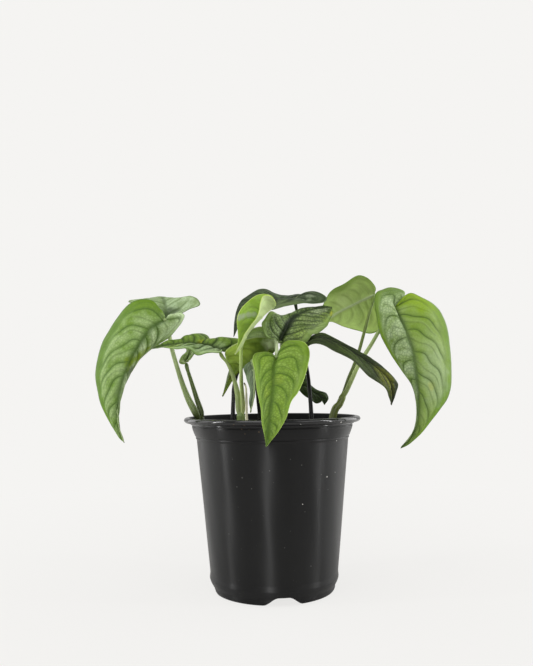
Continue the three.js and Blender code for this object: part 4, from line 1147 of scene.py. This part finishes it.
def make_soil():
    soil_shape().piece("potting_soil", "soil", "soil", [crumb_finish("soil_mix", "221912", "4a3828", 2.2)])
    crumbs = [scatter(finish, *strewn) for finish, (strewn, _) in enumerate(CRUMBS.values())]
    finishes = [crumb_finish(name, *looks) for name, (_, looks) in CRUMBS.items()]
    reduce(Shape.add, crumbs).piece("soil_crumbs", None, "soil", finishes, sharp=40)


# Studio: colours of the floor and of the paper behind it, how much of the paper shows close by, and the
# distances in metres between which the floor turns into paper
FLOOR = "d4d3d1"
PAPER = "f5f4f2"
FLOOR_GLOW = 0.86
FLOOR_FADE = (0.12, 0.75)
FLOOR_REACH = 40.0
WORLD_LIGHT = 0.44
WORLD_COLOUR = (1.0, 1.0, 0.98, 1.0)

# Soft lamps, in metres: place, what it faces, width and height, power in watts. The front strip only shows as
# a gleam
LAMPS = {
    "key": ((-0.6, -0.9, 2.0), (0, 0, 0.2), 1.3, 1.3, 16.0),
    "fill": ((1.5, -1.0, 1.6), (0, 0, 0.2), 1.2, 1.2, 7.0),
    "left_strip": ((-1.25, -0.30, 0.55), (0, 0, 0.1), 0.08, 1.2, 7.0),
    "right_strip": ((1.25, -0.30, 0.55), (0, 0, 0.1), 0.08, 1.2, 6.0),
    "front_strip": ((-0.20, -1.6, 0.6), (0, 0, 0.1), 0.08, 1.2, 12.0),
    "left_panel": ((-1.2, 0.5, 0.6), (0, 0, 0.1), 1.3, 1.2, 7.0),
    "right_panel": ((1.2, 0.5, 0.6), (0, 0, 0.1), 1.3, 1.2, 9.0),
}

# Camera: level, with its frame shifted upwards, in metres and degrees
CAMERA_PLACE = (-0.0049, -0.664, 0.1886)
CAMERA_ROLL = 0.75
FOCAL_LENGTH = 38.16
FRAME_SHIFT = 0.0823


def make_floor():
    """A wide pale floor that turns into the background's plain paper some way off."""
    mesh = bpy.data.meshes.new("floor")
    corners = [(x * FLOOR_REACH, y * FLOOR_REACH, 0) for x, y in ((-1, -1), (1, -1), (1, 1), (-1, 1))]
    mesh.from_pydata(corners, [], [(0, 1, 2, 3)])
    finish = Finish("floor_paper", 0.9, 0.1)
    finish.set("Base Color", colour(FLOOR))
    paper = finish.add("ShaderNodeEmission", {"Color": colour(PAPER)})
    away = finish.add("ShaderNodeVectorMath", {0: finish.place()}, "Value", operation="LENGTH")
    share = away.step(*FLOOR_FADE).blend(FLOOR_GLOW, 1.0)
    finish.show(Signal(finish, finish.shader.outputs[0]), paper, share, "Material Output")
    mesh.materials.append(finish.material)
    linked("floor", mesh)


def make_lights():
    for name, (place, target, width, height, power) in LAMPS.items():
        lamp = bpy.data.lights.new(name, "AREA")
        lamp.shape, lamp.size, lamp.size_y, lamp.energy = "RECTANGLE", width, height, power
        holder = linked(name, lamp)
        holder.location = place
        holder.visible_diffuse = name != "front_strip"
        holder.rotation_euler = (Vector(target) - holder.location).to_track_quat("-Z", "Y").to_euler()


def make_world():
    """Even, soft light all round, with the plain paper where the camera looks past the object."""
    world = bpy.data.worlds.new("studio")
    bpy.context.scene.world = world
    nodes = Nodes(world)
    light = nodes.add("ShaderNodeBackground", {"Color": WORLD_COLOUR, "Strength": WORLD_LIGHT})
    paper = nodes.add("ShaderNodeBackground", {"Color": colour(PAPER)})
    nodes.show(light, paper, 1.0, "World Output")


def make_camera():
    camera = linked("camera", bpy.data.cameras.new("camera"))
    camera.location = CAMERA_PLACE
    camera.rotation_euler = (math.radians(90), math.radians(CAMERA_ROLL), 0)
    camera.data.lens, camera.data.sensor_width, camera.data.shift_y = FOCAL_LENGTH, 36, FRAME_SHIFT
    bpy.context.scene.camera = camera


make_camera()
make_floor()
make_lights()
make_world()
make_pot()
make_soil()
for stem_name, stem in STEMS.items():
    make_stem(stem_name, *stem)
make_dried_sheath()
for leaf_name, leaf in LEAVES.items():
    make_leaf(leaf_name, leaf)
bpy.context.scene.view_settings.view_transform = "Standard"
